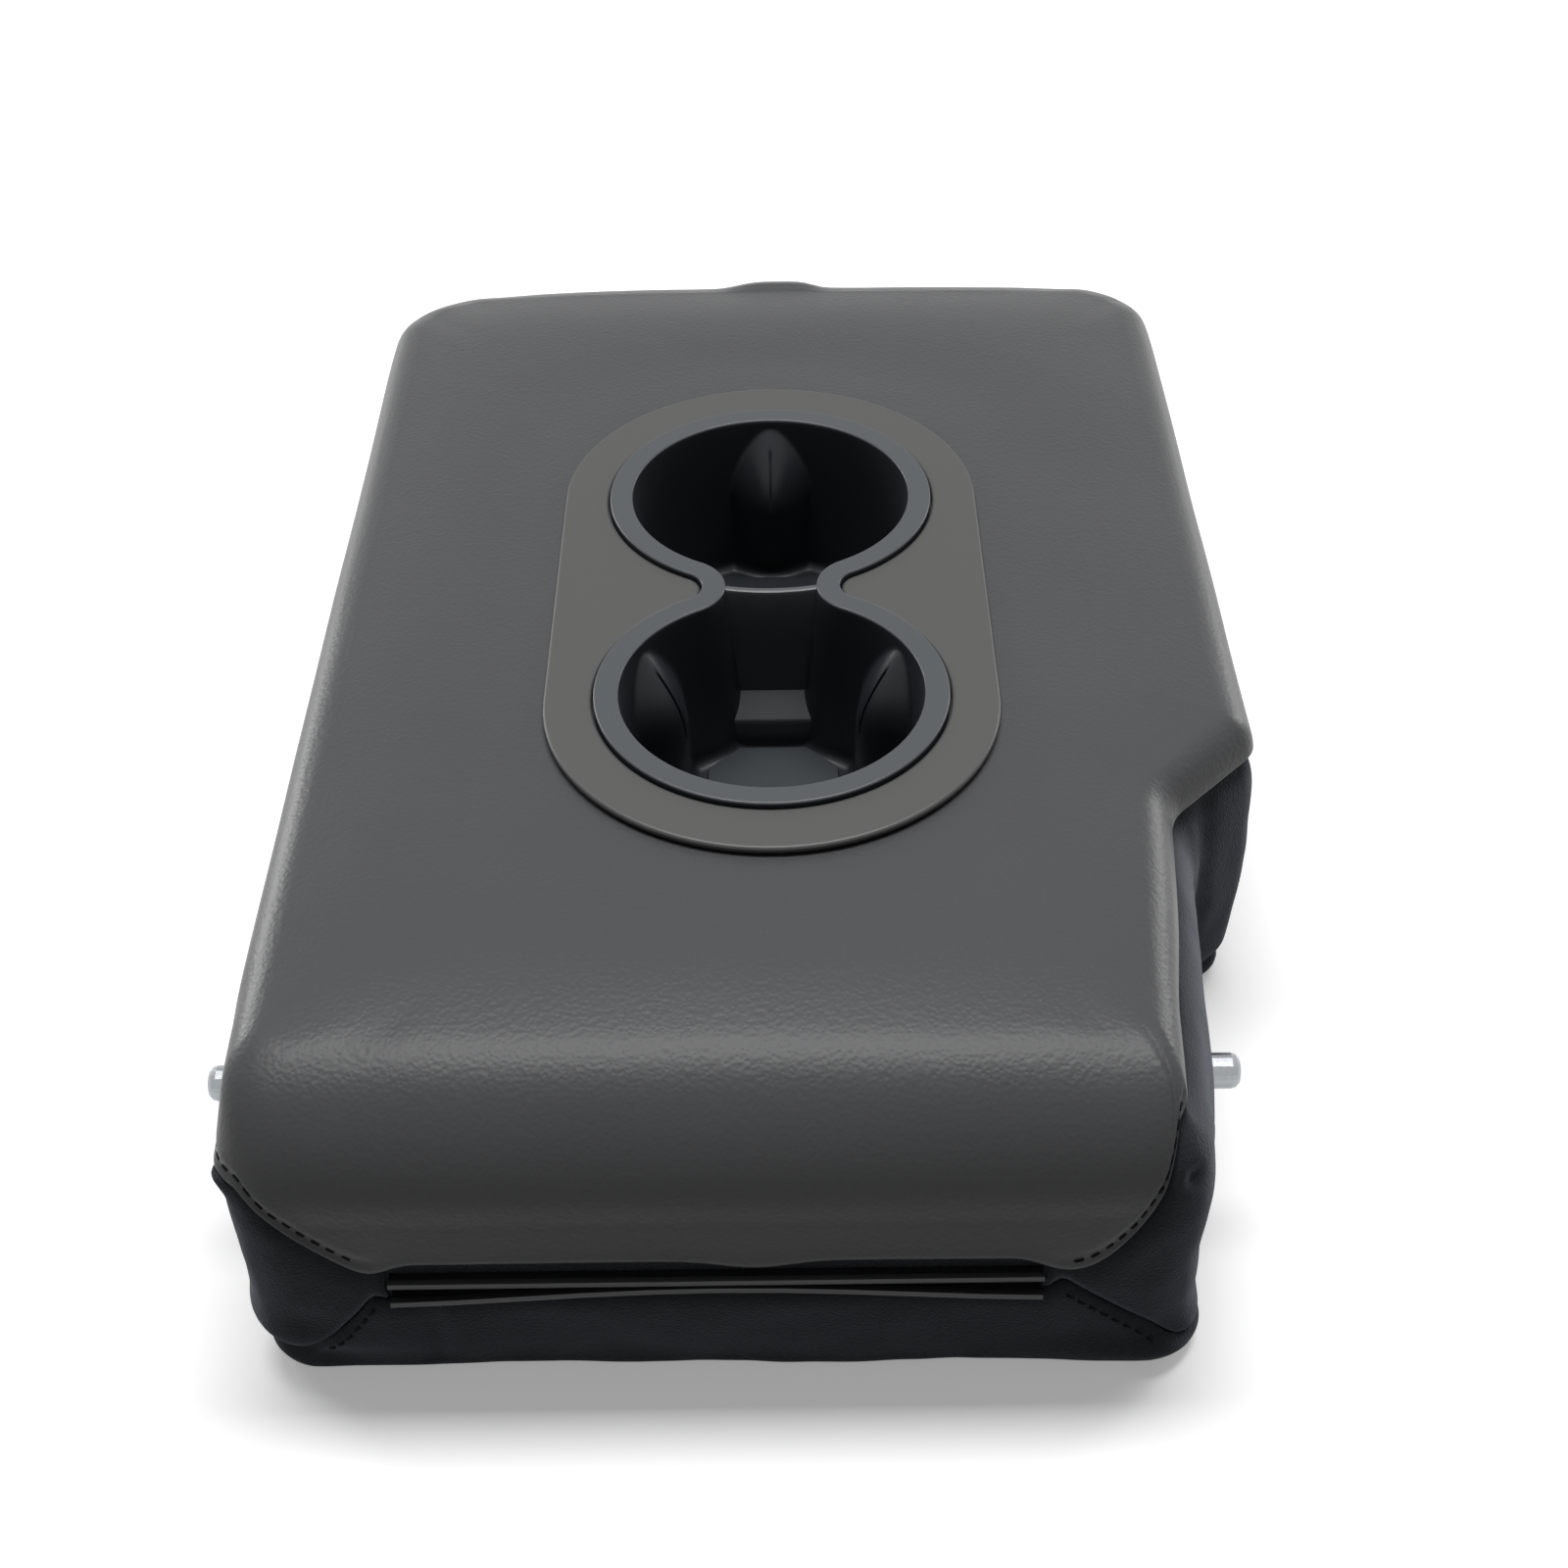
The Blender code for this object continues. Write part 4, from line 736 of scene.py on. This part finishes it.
# The figure of eight at an offset, with the fingers where a depth is given
def linerRing(offset, height, depth=None):
    fillet8 = neckCentre - liner["neckHalf"] - offset
    radius = liner["radius"] + offset
    found = []
    for sign in (1, -1):
        base = 0.0 if sign > 0 else math.pi
        for turn in cupTurns(sign):
            out = radius - (fingerBump(turn, sign, depth, radius) if depth else 0.0)
            found.append((out * math.cos(turn), sign * halfSpacing + out * math.sin(turn), height))
        for step in range(1, liner["neckSteps"]):
            turn = base + neckDip - 2 * neckDip * step / liner["neckSteps"]
            found.append((-sign * neckCentre + fillet8 * math.cos(turn), fillet8 * math.sin(turn), height))
    return found


def draftIn(depth):
    return depth * math.tan(math.radians(liner["draft"]))


linerPlace = shift + Vector((0.0, liner["shiftY"], 0.0))


def makeLiner():
    top, rim, bend = liner["top"], liner["rim"], liner["rimRound"]
    low = top - liner["depth"] - liner["wall"]
    outerLow = liner["wall"] - draftIn(liner["depth"])
    rings = [linerRing(outerLow - 0.002, low), linerRing(outerLow, low + 0.002)]
    under = top - liner["rimThickness"]
    rings += [linerRing(liner["wall"] - draftIn(liner["rimThickness"]), under), linerRing(rim, under)]
    quarter = [math.pi / 2 * step / 4 for step in range(5)]
    for turn in quarter:
        rings.append(linerRing(rim - bend * (1 - math.cos(turn)), top - bend * (1 - math.sin(turn))))
    rings += [linerRing(rim - bend - 0.0002, top), linerRing(bend + 0.0002, top)]
    for turn in quarter:
        rings.append(linerRing(bend * (1 - math.sin(turn)), top - bend * (1 - math.cos(turn))))
    last = liner["depth"] - liner["floorRound"]
    for step in range(liner["levels"]):
        share = (step + 1) / liner["levels"]
        depth = bend + (last - bend) * share**1.15
        rings.append(linerRing(-draftIn(depth), top - depth, depth))
    for turn in quarter[1:]:
        depth = last + liner["floorRound"] * math.sin(turn)
        inward = draftIn(depth) + liner["floorRound"] * (1 - math.cos(turn))
        rings.append(linerRing(-inward, top - depth, depth))
    made = smoothed(ringsMesh("cupLiner", rings, linerPlace), 48.0)
    # Faces below the rim's rounding take the darker second material: painted shade on the cups' inner walls
    for face in made.data.polygons:
        face.material_index = 1 if face.center.z < top - bend else 0
    return made


# How far from the middle the neck's wall stands at a y and a depth
def neckEdge(y, depth):
    size = neckCentre - liner["neckHalf"] + draftIn(depth)
    return neckCentre - math.sqrt(max(size**2 - min(abs(y), size) ** 2, 0.0))


web = {"top": 0.0006, "dip": 0.0012, "step": 0.0383, "foot": 0.0440}


# The wall between the cups: a saddle top, a plain face and a stepped foot
def makeWeb():
    top = liner["top"]
    half = [(0.0005, web["top"]), (0.0011, web["top"] + 0.0003), (0.0014, web["top"] + 0.0012), (0.0021, 0.0200),
            (0.0026, web["step"] - 0.0008), (0.0033, web["step"]), (0.0094, web["foot"] - 0.0010),
            (0.0099, web["foot"] - 0.0003), (0.0101, web["foot"] + 0.0010), (0.0101, 0.0545)]
    section = [(-half[0][0], half[0][1])] + half + [(-y, depth) for y, depth in reversed(half[1:])]
    rings = []
    for step in range(13):
        share = step / 6 - 1
        dip = web["dip"] * (1 - share**2)
        ring = []
        for y, depth in section:
            level = depth + (dip if depth < 0.03 else 0.0)
            ring.append((share * (neckEdge(y, level) + 0.0007), y, top - level))
        rings.append(ring)
    return smoothed(ringsMesh("cupWeb", rings, linerPlace), 30.0)


# The eight-sided pad on a cup's floor
floorPad = {"half": 0.0195, "cut": 0.0095, "inner": 0.0136, "outer": 0.0770}


def makeFloorPad(sign):
    half, cut, inner, outer = floorPad.values()
    side = [(half - cut, inner), (half, inner + cut), (half, outer - cut), (half - cut, outer)]
    outline = side + [(-x, y) for x, y in reversed(side)]
    base = liner["top"] - liner["depth"]
    rings = []
    steps = ((0.0006, base - 0.001), (0.0003, base + 0.0014), (0.0, base + 0.0019), (-0.0006, base + 0.0020))
    for grow, height in steps:
        ring = []
        for x, y in outline:
            away = Vector((x, y - (inner + outer) / 2)).normalized() * grow
            ring.append((x + away.x, sign * (y + away.y), height))
        rings.append(ring)
    made = ringsMesh("floorPad", rings, linerPlace)
    made.data.set_sharp_from_angle(angle=math.radians(20.0))
    # The far cup's pad takes the darker second material as painted shade; the near pad keeps the liner's own colour
    for face in made.data.polygons:
        face.material_index = 1 if sign > 0 else 0
    return made


# Several meshes made one object
def joined(pieces, name):
    shape = bmesh.new()
    for piece in pieces:
        shape.from_mesh(piece.data)
        bpy.data.objects.remove(piece)
    return finished(name, shape)


cupLiner = joined([makeLiner(), makeWeb(), makeFloorPad(1), makeFloorPad(-1)], "cupLiner")

# The satin surround
bezel = {"bottom": 0.1003, "top": 0.1025, "round": 0.0010, "gap": 0.0004, "steps": 64}


def makeBezel():
    outer = []
    for sign in (1, -1):
        for step in range(bezel["steps"] + 1):
            turn = math.pi * step / bezel["steps"] + (0.0 if sign > 0 else math.pi)
            y = body["bezelY"] + sign * body["bezelHalf"] + body["bezelRadius"] * math.sin(turn)
            outer.append((body["bezelRadius"] * math.cos(turn), y))
    hole = [(x, y + liner["shiftY"]) for x, y, _ in linerRing(liner["rim"] + bezel["gap"], 0.0)]
    curve = bpy.data.curves.new("surround", "CURVE")
    curve.dimensions = "2D"
    curve.fill_mode = "BOTH"
    thick = bezel["top"] - bezel["bottom"]
    curve.extrude = thick / 2 - bezel["round"]
    curve.bevel_depth = bezel["round"]
    curve.bevel_resolution = 3
    curve.offset = -bezel["round"]
    for outline in (outer, hole):
        spline = curve.splines.new("POLY")
        spline.points.add(len(outline) - 1)
        for point, (x, y) in zip(spline.points, outline):
            point.co = (x, y, 0.0, 1.0)
        spline.use_cyclic_u = True
    guide = addObject("surroundGuide", curve)
    mesh = bpy.data.meshes.new_from_object(evaluated(guide))
    bpy.data.objects.remove(guide)
    mesh.transform(Matrix.Translation(shift + Vector((0.0, 0.0, (bezel["top"] + bezel["bottom"]) / 2))))
    return smoothed(addObject("cupSurround", mesh), 50.0)


cupSurround = makeBezel()


# The point of a column at a distance from a seam, and the surface's outward direction there
def alongSkin(points, away, distance, column):
    runs = away[:, column]
    place = np.array([np.interp(distance, runs, points[:, column, axis]) for axis in range(3)])
    normal = np.array([np.interp(distance, runs, normals[:, column, axis]) for axis in range(3)])
    return Vector(place), Vector(normal).normalized()


# Threads along a line of (point, normal), each a small round bar bent down at its ends
def threadsAlong(line):
    marks, total = [0.0], 0.0
    for first, second in zip(line, line[1:]):
        total += (second[0] - first[0]).length
        marks.append(total)
    found = []
    start = stitch["pitch"] / 2
    while start + stitch["length"] < total:
        ring = []
        for share in (0.0, 0.18, 0.5, 0.82, 1.0):
            at = start + stitch["length"] * share
            number = min(max(1, int(np.searchsorted(marks, at))), len(line) - 1)
            part = (at - marks[number - 1]) / max(marks[number] - marks[number - 1], 1e-9)
            place = line[number - 1][0].lerp(line[number][0], part)
            normal = line[number - 1][1].lerp(line[number][1], part).normalized()
            lift = stitch["radius"] * (0.5 if 0.0 < share < 1.0 else -1.2) - stitch["sink"]
            ring.append((place + normal * lift, normal))
        found.append(ring)
        start += stitch["pitch"]
    return found


def makeStitches(name, lines):
    shape = bmesh.new()
    turns = [2 * math.pi * step / 6 for step in range(6)]
    for thread in (thread for line in lines for thread in threadsAlong(line)):
        rings = []
        for number, (place, normal) in enumerate(thread):
            ahead = thread[min(number + 1, len(thread) - 1)][0] - thread[max(number - 1, 0)][0]
            side = ahead.normalized().cross(normal).normalized()
            aways = [side * math.cos(turn) + normal * math.sin(turn) for turn in turns]
            rings.append([place + away * stitch["radius"] for away in aways])
        addRings(shape, rings)
    made = finished(name, shape)
    made.data.shade_smooth()
    return made


# The run of columns along a near corner, from the closure outwards
def cornerRun(sign, first):
    atCorner = cornerShare()[0]
    found = [c for c in range(columnCount) if atCorner[c] and widePoints[c].x * sign > 0]
    return sorted(found, key=lambda c: (c - first) % columnCount)


leftRun, rightRun = cornerRun(-1, closureFirst), cornerRun(1, closureLast)


def hemLine(columnsRun):
    return [alongSkin(leatherSkin, fromEdge, stitch["inboard"], c) for c in columnsRun]


def slantLine(columnsRun):
    low, high = stitch["slantLow"], body["flapEnd"] - stitch["slantShort"]
    chosen = [c for c in columnsRun if low < underEdge(columns[c], widePoints[c]) < high]
    return [alongSkin(knitSkin, fromUnder, -stitch["slantAway"], c) for c in chosen]


hemStitches = makeStitches("hemStitches", [hemLine(leftRun), hemLine(rightRun)])
slantStitches = makeStitches("slantStitches", [slantLine(leftRun), slantLine(rightRun)])


# Points down the front, from the top roll to the strap's end
def frontLine(offset):
    roll = frontSide[0]
    centreY, centreZ = frontMiddle
    found = []
    for step in range(17):
        turn = math.radians(strap["topTurn"]) * (1 - step / 16)
        found.append((centreY + (roll + offset) * math.cos(turn), centreZ + (roll + offset) * math.sin(turn)))
    for step in range(1, 17):
        height = centreZ + (strap["end"] - centreZ) * step / 16
        found.append((body["frontEnd"] + body["frontBulge"] - inset(frontSide, height, 0.0) + offset, height))
    return found


def makeStrap():
    rings = []
    last = len(frontLine(0.0)) - 1
    inner, outer = frontLine(strap["gap"]), frontLine(strap["gap"] + strap["thickness"])
    for number, ((y0, z0), (y1, z1)) in enumerate(zip(inner, outer)):
        doubled = 2.0 if z0 < strap["end"] + strap["fold"] else 1.0
        ends = min(1.0, (number + 0.6) / 4, (last - number + 0.5) / 1.5)
        ring = []
        for step in range(20):
            turn = 2 * math.pi * step / 20
            across = math.copysign(abs(math.cos(turn)) ** 0.5, math.cos(turn)) * (strap["half"] - 0.0008 * (1 - ends))
            up = 0.5 + 0.5 * math.copysign(abs(math.sin(turn)) ** 0.9, math.sin(turn)) * ends
            up = max(up, 0.0) * (doubled if up > 0.5 else 1.0)
            ring.append((strap["centre"] + across, y0 + (y1 - y0) * up, z0 + (z1 - z0) * up))
        rings.append(ring)
    made = ringsMesh("pullLoop", rings, shift)
    made.data.shade_smooth()
    return made


pullLoop = makeStrap()
print("hard pieces", [len(o.data.polygons) for o in (cupLiner, cupSurround, hemStitches, slantStitches, pullLoop)])


# Materials
def newMaterial(name, settings):
    made = bpy.data.materials.new(name)
    made.use_nodes = True
    shader = made.node_tree.nodes["Principled BSDF"]
    for key, value in settings.items():
        shader.inputs[key].default_value = (*value, 1.0) if isinstance(value, tuple) and len(value) == 3 else value
    return made, made.node_tree, shader


def textureNode(tree, kind, **inputs):
    node = tree.nodes.new(kind)
    for key, value in inputs.items():
        node.inputs[key].default_value = value
    return node


# A texture laid over the piece by its own coordinates
def laidTexture(tree, kind, **inputs):
    node = textureNode(tree, kind, **inputs)
    place = tree.nodes.new("ShaderNodeTexCoord")
    tree.links.new(place.outputs["Object"], node.inputs["Vector"])
    return node


def addBump(tree, shader, height, strength, distance, before=None):
    node = textureNode(tree, "ShaderNodeBump", Strength=strength, Distance=distance)
    tree.links.new(height, node.inputs["Height"])
    if before:
        tree.links.new(before, node.inputs["Normal"])
    tree.links.new(node.outputs["Normal"], shader.inputs["Normal"])
    return node.outputs["Normal"]


def mixed(tree, value, first, second):
    mix = tree.nodes.new("ShaderNodeMix")
    mix.data_type = "RGBA"
    mix.inputs[6].default_value = (*first, 1.0)
    mix.inputs[7].default_value = (*second, 1.0)
    tree.links.new(value, mix.inputs[0])
    return mix.outputs[2]


# The base colour run between two tones by a texture value
def tinted(tree, shader, value, dark, light):
    tree.links.new(mixed(tree, value, dark, light), shader.inputs["Base Color"])


leatherLook = {
    "dark": (0.056, 0.057, 0.0595),
    "light": (0.065, 0.066, 0.0685),
    "rough": 0.37,
    "gloss": 0.21,
    "cellScale": 820.0,
    "foldScale": 420.0,
    "grain": 0.45,
}
knitLook = {
    "dark": (0.0150, 0.0160, 0.0185),
    "light": (0.0300, 0.0320, 0.0360),
    "rough": 0.95,
    "sheen": 0.30,
    "loopScale": 1500.0,
    "fuzzScale": 700.0,
    "weave": 0.6,
}


def leatherMaterial():
    made, tree, shader = newMaterial("charcoalLeatherette", {
        "Roughness": leatherLook["rough"], "Specular IOR Level": leatherLook["gloss"]})
    cells = laidTexture(tree, "ShaderNodeTexVoronoi", Scale=leatherLook["cellScale"], Randomness=1.0)
    cells.feature = "SMOOTH_F1"
    folds = laidTexture(tree, "ShaderNodeTexNoise", Scale=leatherLook["foldScale"], Detail=4.0, Roughness=0.6)
    first = addBump(tree, shader, folds.outputs["Fac"], 0.16, 0.0003)
    addBump(tree, shader, cells.outputs["Distance"], leatherLook["grain"], 0.00022, first)
    broad = laidTexture(tree, "ShaderNodeTexNoise", Scale=18.0, Detail=3.0)
    tinted(tree, shader, broad.outputs["Fac"], leatherLook["dark"], leatherLook["light"])
    return made


def knitMaterial():
    made, tree, shader = newMaterial("blackKnit", {
        "Roughness": knitLook["rough"], "Specular IOR Level": 0.15, "Sheen Weight": knitLook["sheen"],
        "Sheen Roughness": 0.5, "Sheen Tint": (0.75, 0.80, 0.90)})
    loops = laidTexture(tree, "ShaderNodeTexVoronoi", Scale=knitLook["loopScale"])
    fuzz = laidTexture(tree, "ShaderNodeTexNoise", Scale=knitLook["fuzzScale"], Detail=5.0, Roughness=0.7)
    first = addBump(tree, shader, fuzz.outputs["Fac"], 0.35, 0.0004)
    addBump(tree, shader, loops.outputs["Distance"], knitLook["weave"], 0.00025, first)
    tinted(tree, shader, fuzz.outputs["Fac"], knitLook["dark"], knitLook["light"])
    return made


def grainMaterial(name, colour, rough, specular=0.5, metallic=0.0, scale=2200.0, strength=0.12):
    made, tree, shader = newMaterial(name, {"Roughness": rough, "Specular IOR Level": specular, "Metallic": metallic})
    grain = laidTexture(tree, "ShaderNodeTexNoise", Scale=scale, Detail=2.0)
    addBump(tree, shader, grain.outputs["Fac"], strength, 0.0001)
    tinted(tree, shader, grain.outputs["Fac"], tuple(v * 0.92 for v in colour), tuple(v * 1.08 for v in colour))
    return made


leather = leatherMaterial()
knit = knitMaterial()
bezelLook = {"colour": (0.046, 0.046, 0.0448), "rough": 0.46}
# The liner's wall tone, and the material made from it below, is a darker copy of the liner plastic: painted shade for
# the insides of the cups
linerLook = {"colour": (0.040, 0.046, 0.050), "rough": 0.40, "wall": (0.017, 0.020, 0.023), "wallRough": 0.38}
bezelPlastic = grainMaterial("greySatinPlastic", bezelLook["colour"], bezelLook["rough"])
linerPlastic = grainMaterial("blueBlackLiner", linerLook["colour"], linerLook["rough"], strength=0.08)
paintedShadeWallPlastic = grainMaterial("paintedShadeCupWall", linerLook["wall"], linerLook["wallRough"], 0.25, strength=0.05)
stripPlastic = grainMaterial("blackPlastic", (0.020, 0.021, 0.023), 0.34)
pinZinc = grainMaterial("brightZinc", (0.34, 0.355, 0.37), 0.26, metallic=1.0, scale=900.0, strength=0.05)
hiddenFoam = grainMaterial("darkFoam", (0.030, 0.030, 0.030), 0.95, scale=900.0, strength=0.5)
framePaint = grainMaterial("blackPaint", (0.020, 0.020, 0.021), 0.40)
threadMaterial = grainMaterial("darkThread", (0.008, 0.008, 0.009), 0.85, 0.1, scale=3000.0)
bushNylon = grainMaterial("nylon", (0.60, 0.59, 0.56), 0.45)

nodeLooks = {
    "cupholder_bezel": bezelPlastic, "cup_insert": linerPlastic, "upper_closure_strip": stripPlastic,
    "lower_closure_strip": stripPlastic, "pivot_rod": pinZinc, "left_rod_clip": pinZinc, "right_rod_clip": pinZinc,
    "pull_strap": leather, "foam_upper": hiddenFoam, "foam_lower": hiddenFoam, "cupholder_tub": stripPlastic,
    "left_pivot_bush": bushNylon, "right_pivot_bush": bushNylon,
}
for nodeName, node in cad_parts.items():
    look = nodeLooks.get(nodeName) or (pinZinc if nodeName.startswith("tub_screw") else framePaint)
    node.data.materials.clear()
    node.data.materials.append(look)

for piece, look, replaced, slotName in (
    (topCover, leather, "top_cover", "leatherette"),
    (leftPanel, knit, "left_side_panel", "knit"),
    (rightPanel, knit, "right_side_panel", "knit"),
    (underPanel, knit, "bottom_panel", "knit"),
    (closureBack, knit, None, "knit"),
    (pullLoop, leather, "pull_strap", "leatherette"),
    (cupLiner, linerPlastic, "cup_insert", "liner_plastic"),
    (cupSurround, bezelPlastic, "cupholder_bezel", "bezel_plastic"),
    (hemStitches, threadMaterial, None, "leatherette"),
    (slantStitches, threadMaterial, None, "knit"),
):
    piece.data.materials.append(look)
    # The liner's second slot holds the darker copy of its plastic: painted shade for the cups' inner walls and the
    # far cup's floor pad
    if piece == cupLiner:
        piece.data.materials.append(paintedShadeWallPlastic)
    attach(piece, "armrest")
    if replaced:
        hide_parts(replaced)


# Camera, floor and light
view = {"lens": 54.05, "sensor": 36.0, "place": (0.00314, -0.5743, 0.5066), "down": 39.96, "roll": -0.73}
cameraData = bpy.data.cameras.new("camera")
cameraData.lens = view["lens"]
cameraData.sensor_width = view["sensor"]
camera = addObject("camera", cameraData)
camera.matrix_world = (
    Matrix.Translation(Vector(view["place"]) + shift)
    @ Matrix.Rotation(math.radians(90 - view["down"]), 4, "X")
    @ Matrix.Rotation(math.radians(view["roll"]), 4, "Z")
)
bpy.context.scene.camera = camera
bpy.context.scene.view_settings.view_transform = "Standard"

studio = {
    "floorSeen": 0.92,
    "floorElse": 0.30,
    "floorGlow": 0.30,
    "glowStart": 0.6,
    "glowEnd": 2.2,
    "world": 0.09,
}
# Each lamp's name, place, aim, size and power
lamps = (
    ("overhead", (0.0, 0.30, 2.1), (0.0, 0.0, 0.0), (1.7, 0.6), 46.0),
    ("leftRim", (-1.6, 1.3, 0.5), (0.0, 0.0, 0.05), (0.5, 1.0), 14.0),
    ("rightRim", (1.6, 1.3, 0.5), (0.0, 0.0, 0.05), (0.5, 1.0), 9.0),
)


def mathNode(tree, operation, first, second):
    node = tree.nodes.new("ShaderNodeMath")
    node.operation = operation
    tree.links.new(first, node.inputs[0])
    tree.links.new(second, node.inputs[1])
    return node.outputs["Value"]


# 1 for the rays that see the background: the camera's, mirrored and transmitted ones
def backgroundRay(tree):
    path = tree.nodes.new("ShaderNodeLightPath").outputs
    seen = mathNode(tree, "MAXIMUM", path["Is Camera Ray"], path["Is Glossy Ray"])
    return mathNode(tree, "MAXIMUM", seen, path["Is Transmission Ray"])


# The floor is nearly white to the camera and to reflections, and darker to the light that it throws back
def addFloor():
    bpy.ops.mesh.primitive_plane_add(size=8.0, location=(0.0, 0.5, 0.0))
    floor = bpy.context.object
    floor.name = "floor"
    made, tree, shader = newMaterial("paleFloor", {"Roughness": 0.9, "Specular IOR Level": 0.0})
    seenRay = backgroundRay(tree)
    tinted(tree, shader, seenRay, (studio["floorElse"],) * 3, (studio["floorSeen"],) * 3)
    shader.inputs["Emission Color"].default_value = (1.0, 1.0, 1.0, 1.0)
    # Far from the object the floor glows white, so that no horizon shows
    place = tree.nodes.new("ShaderNodeNewGeometry")
    away = tree.nodes.new("ShaderNodeVectorMath")
    away.operation = "LENGTH"
    tree.links.new(place.outputs["Position"], away.inputs[0])
    fade = textureNode(tree, "ShaderNodeMapRange", **{
        "From Min": studio["glowStart"], "From Max": studio["glowEnd"], "To Min": studio["floorGlow"], "To Max": 1.0})
    fade.clamp = True
    tree.links.new(away.outputs["Value"], fade.inputs["Value"])
    glow = mathNode(tree, "MULTIPLY", seenRay, fade.outputs["Result"])
    tree.links.new(glow, shader.inputs["Emission Strength"])
    floor.data.materials.append(made)


def addLight(name, place, aim, size, power):
    data = bpy.data.lights.new(name, "AREA")
    data.shape = "RECTANGLE"
    data.size, data.size_y = size
    data.energy = power
    light = addObject(name, data)
    light.location = place
    light.rotation_euler = (Vector(aim) - Vector(place)).to_track_quat("-Z", "Y").to_euler()


def addWorld():
    world = bpy.data.worlds.new("studio")
    world.use_nodes = True
    bpy.context.scene.world = world
    tree = world.node_tree
    colour = mixed(tree, backgroundRay(tree), (studio["world"],) * 3, (1.0, 1.0, 1.0))
    tree.links.new(colour, tree.nodes["Background"].inputs["Color"])


addFloor()
for lamp in lamps:
    addLight(*lamp)
addWorld()
print("studio ready, lamps:", len(lamps))
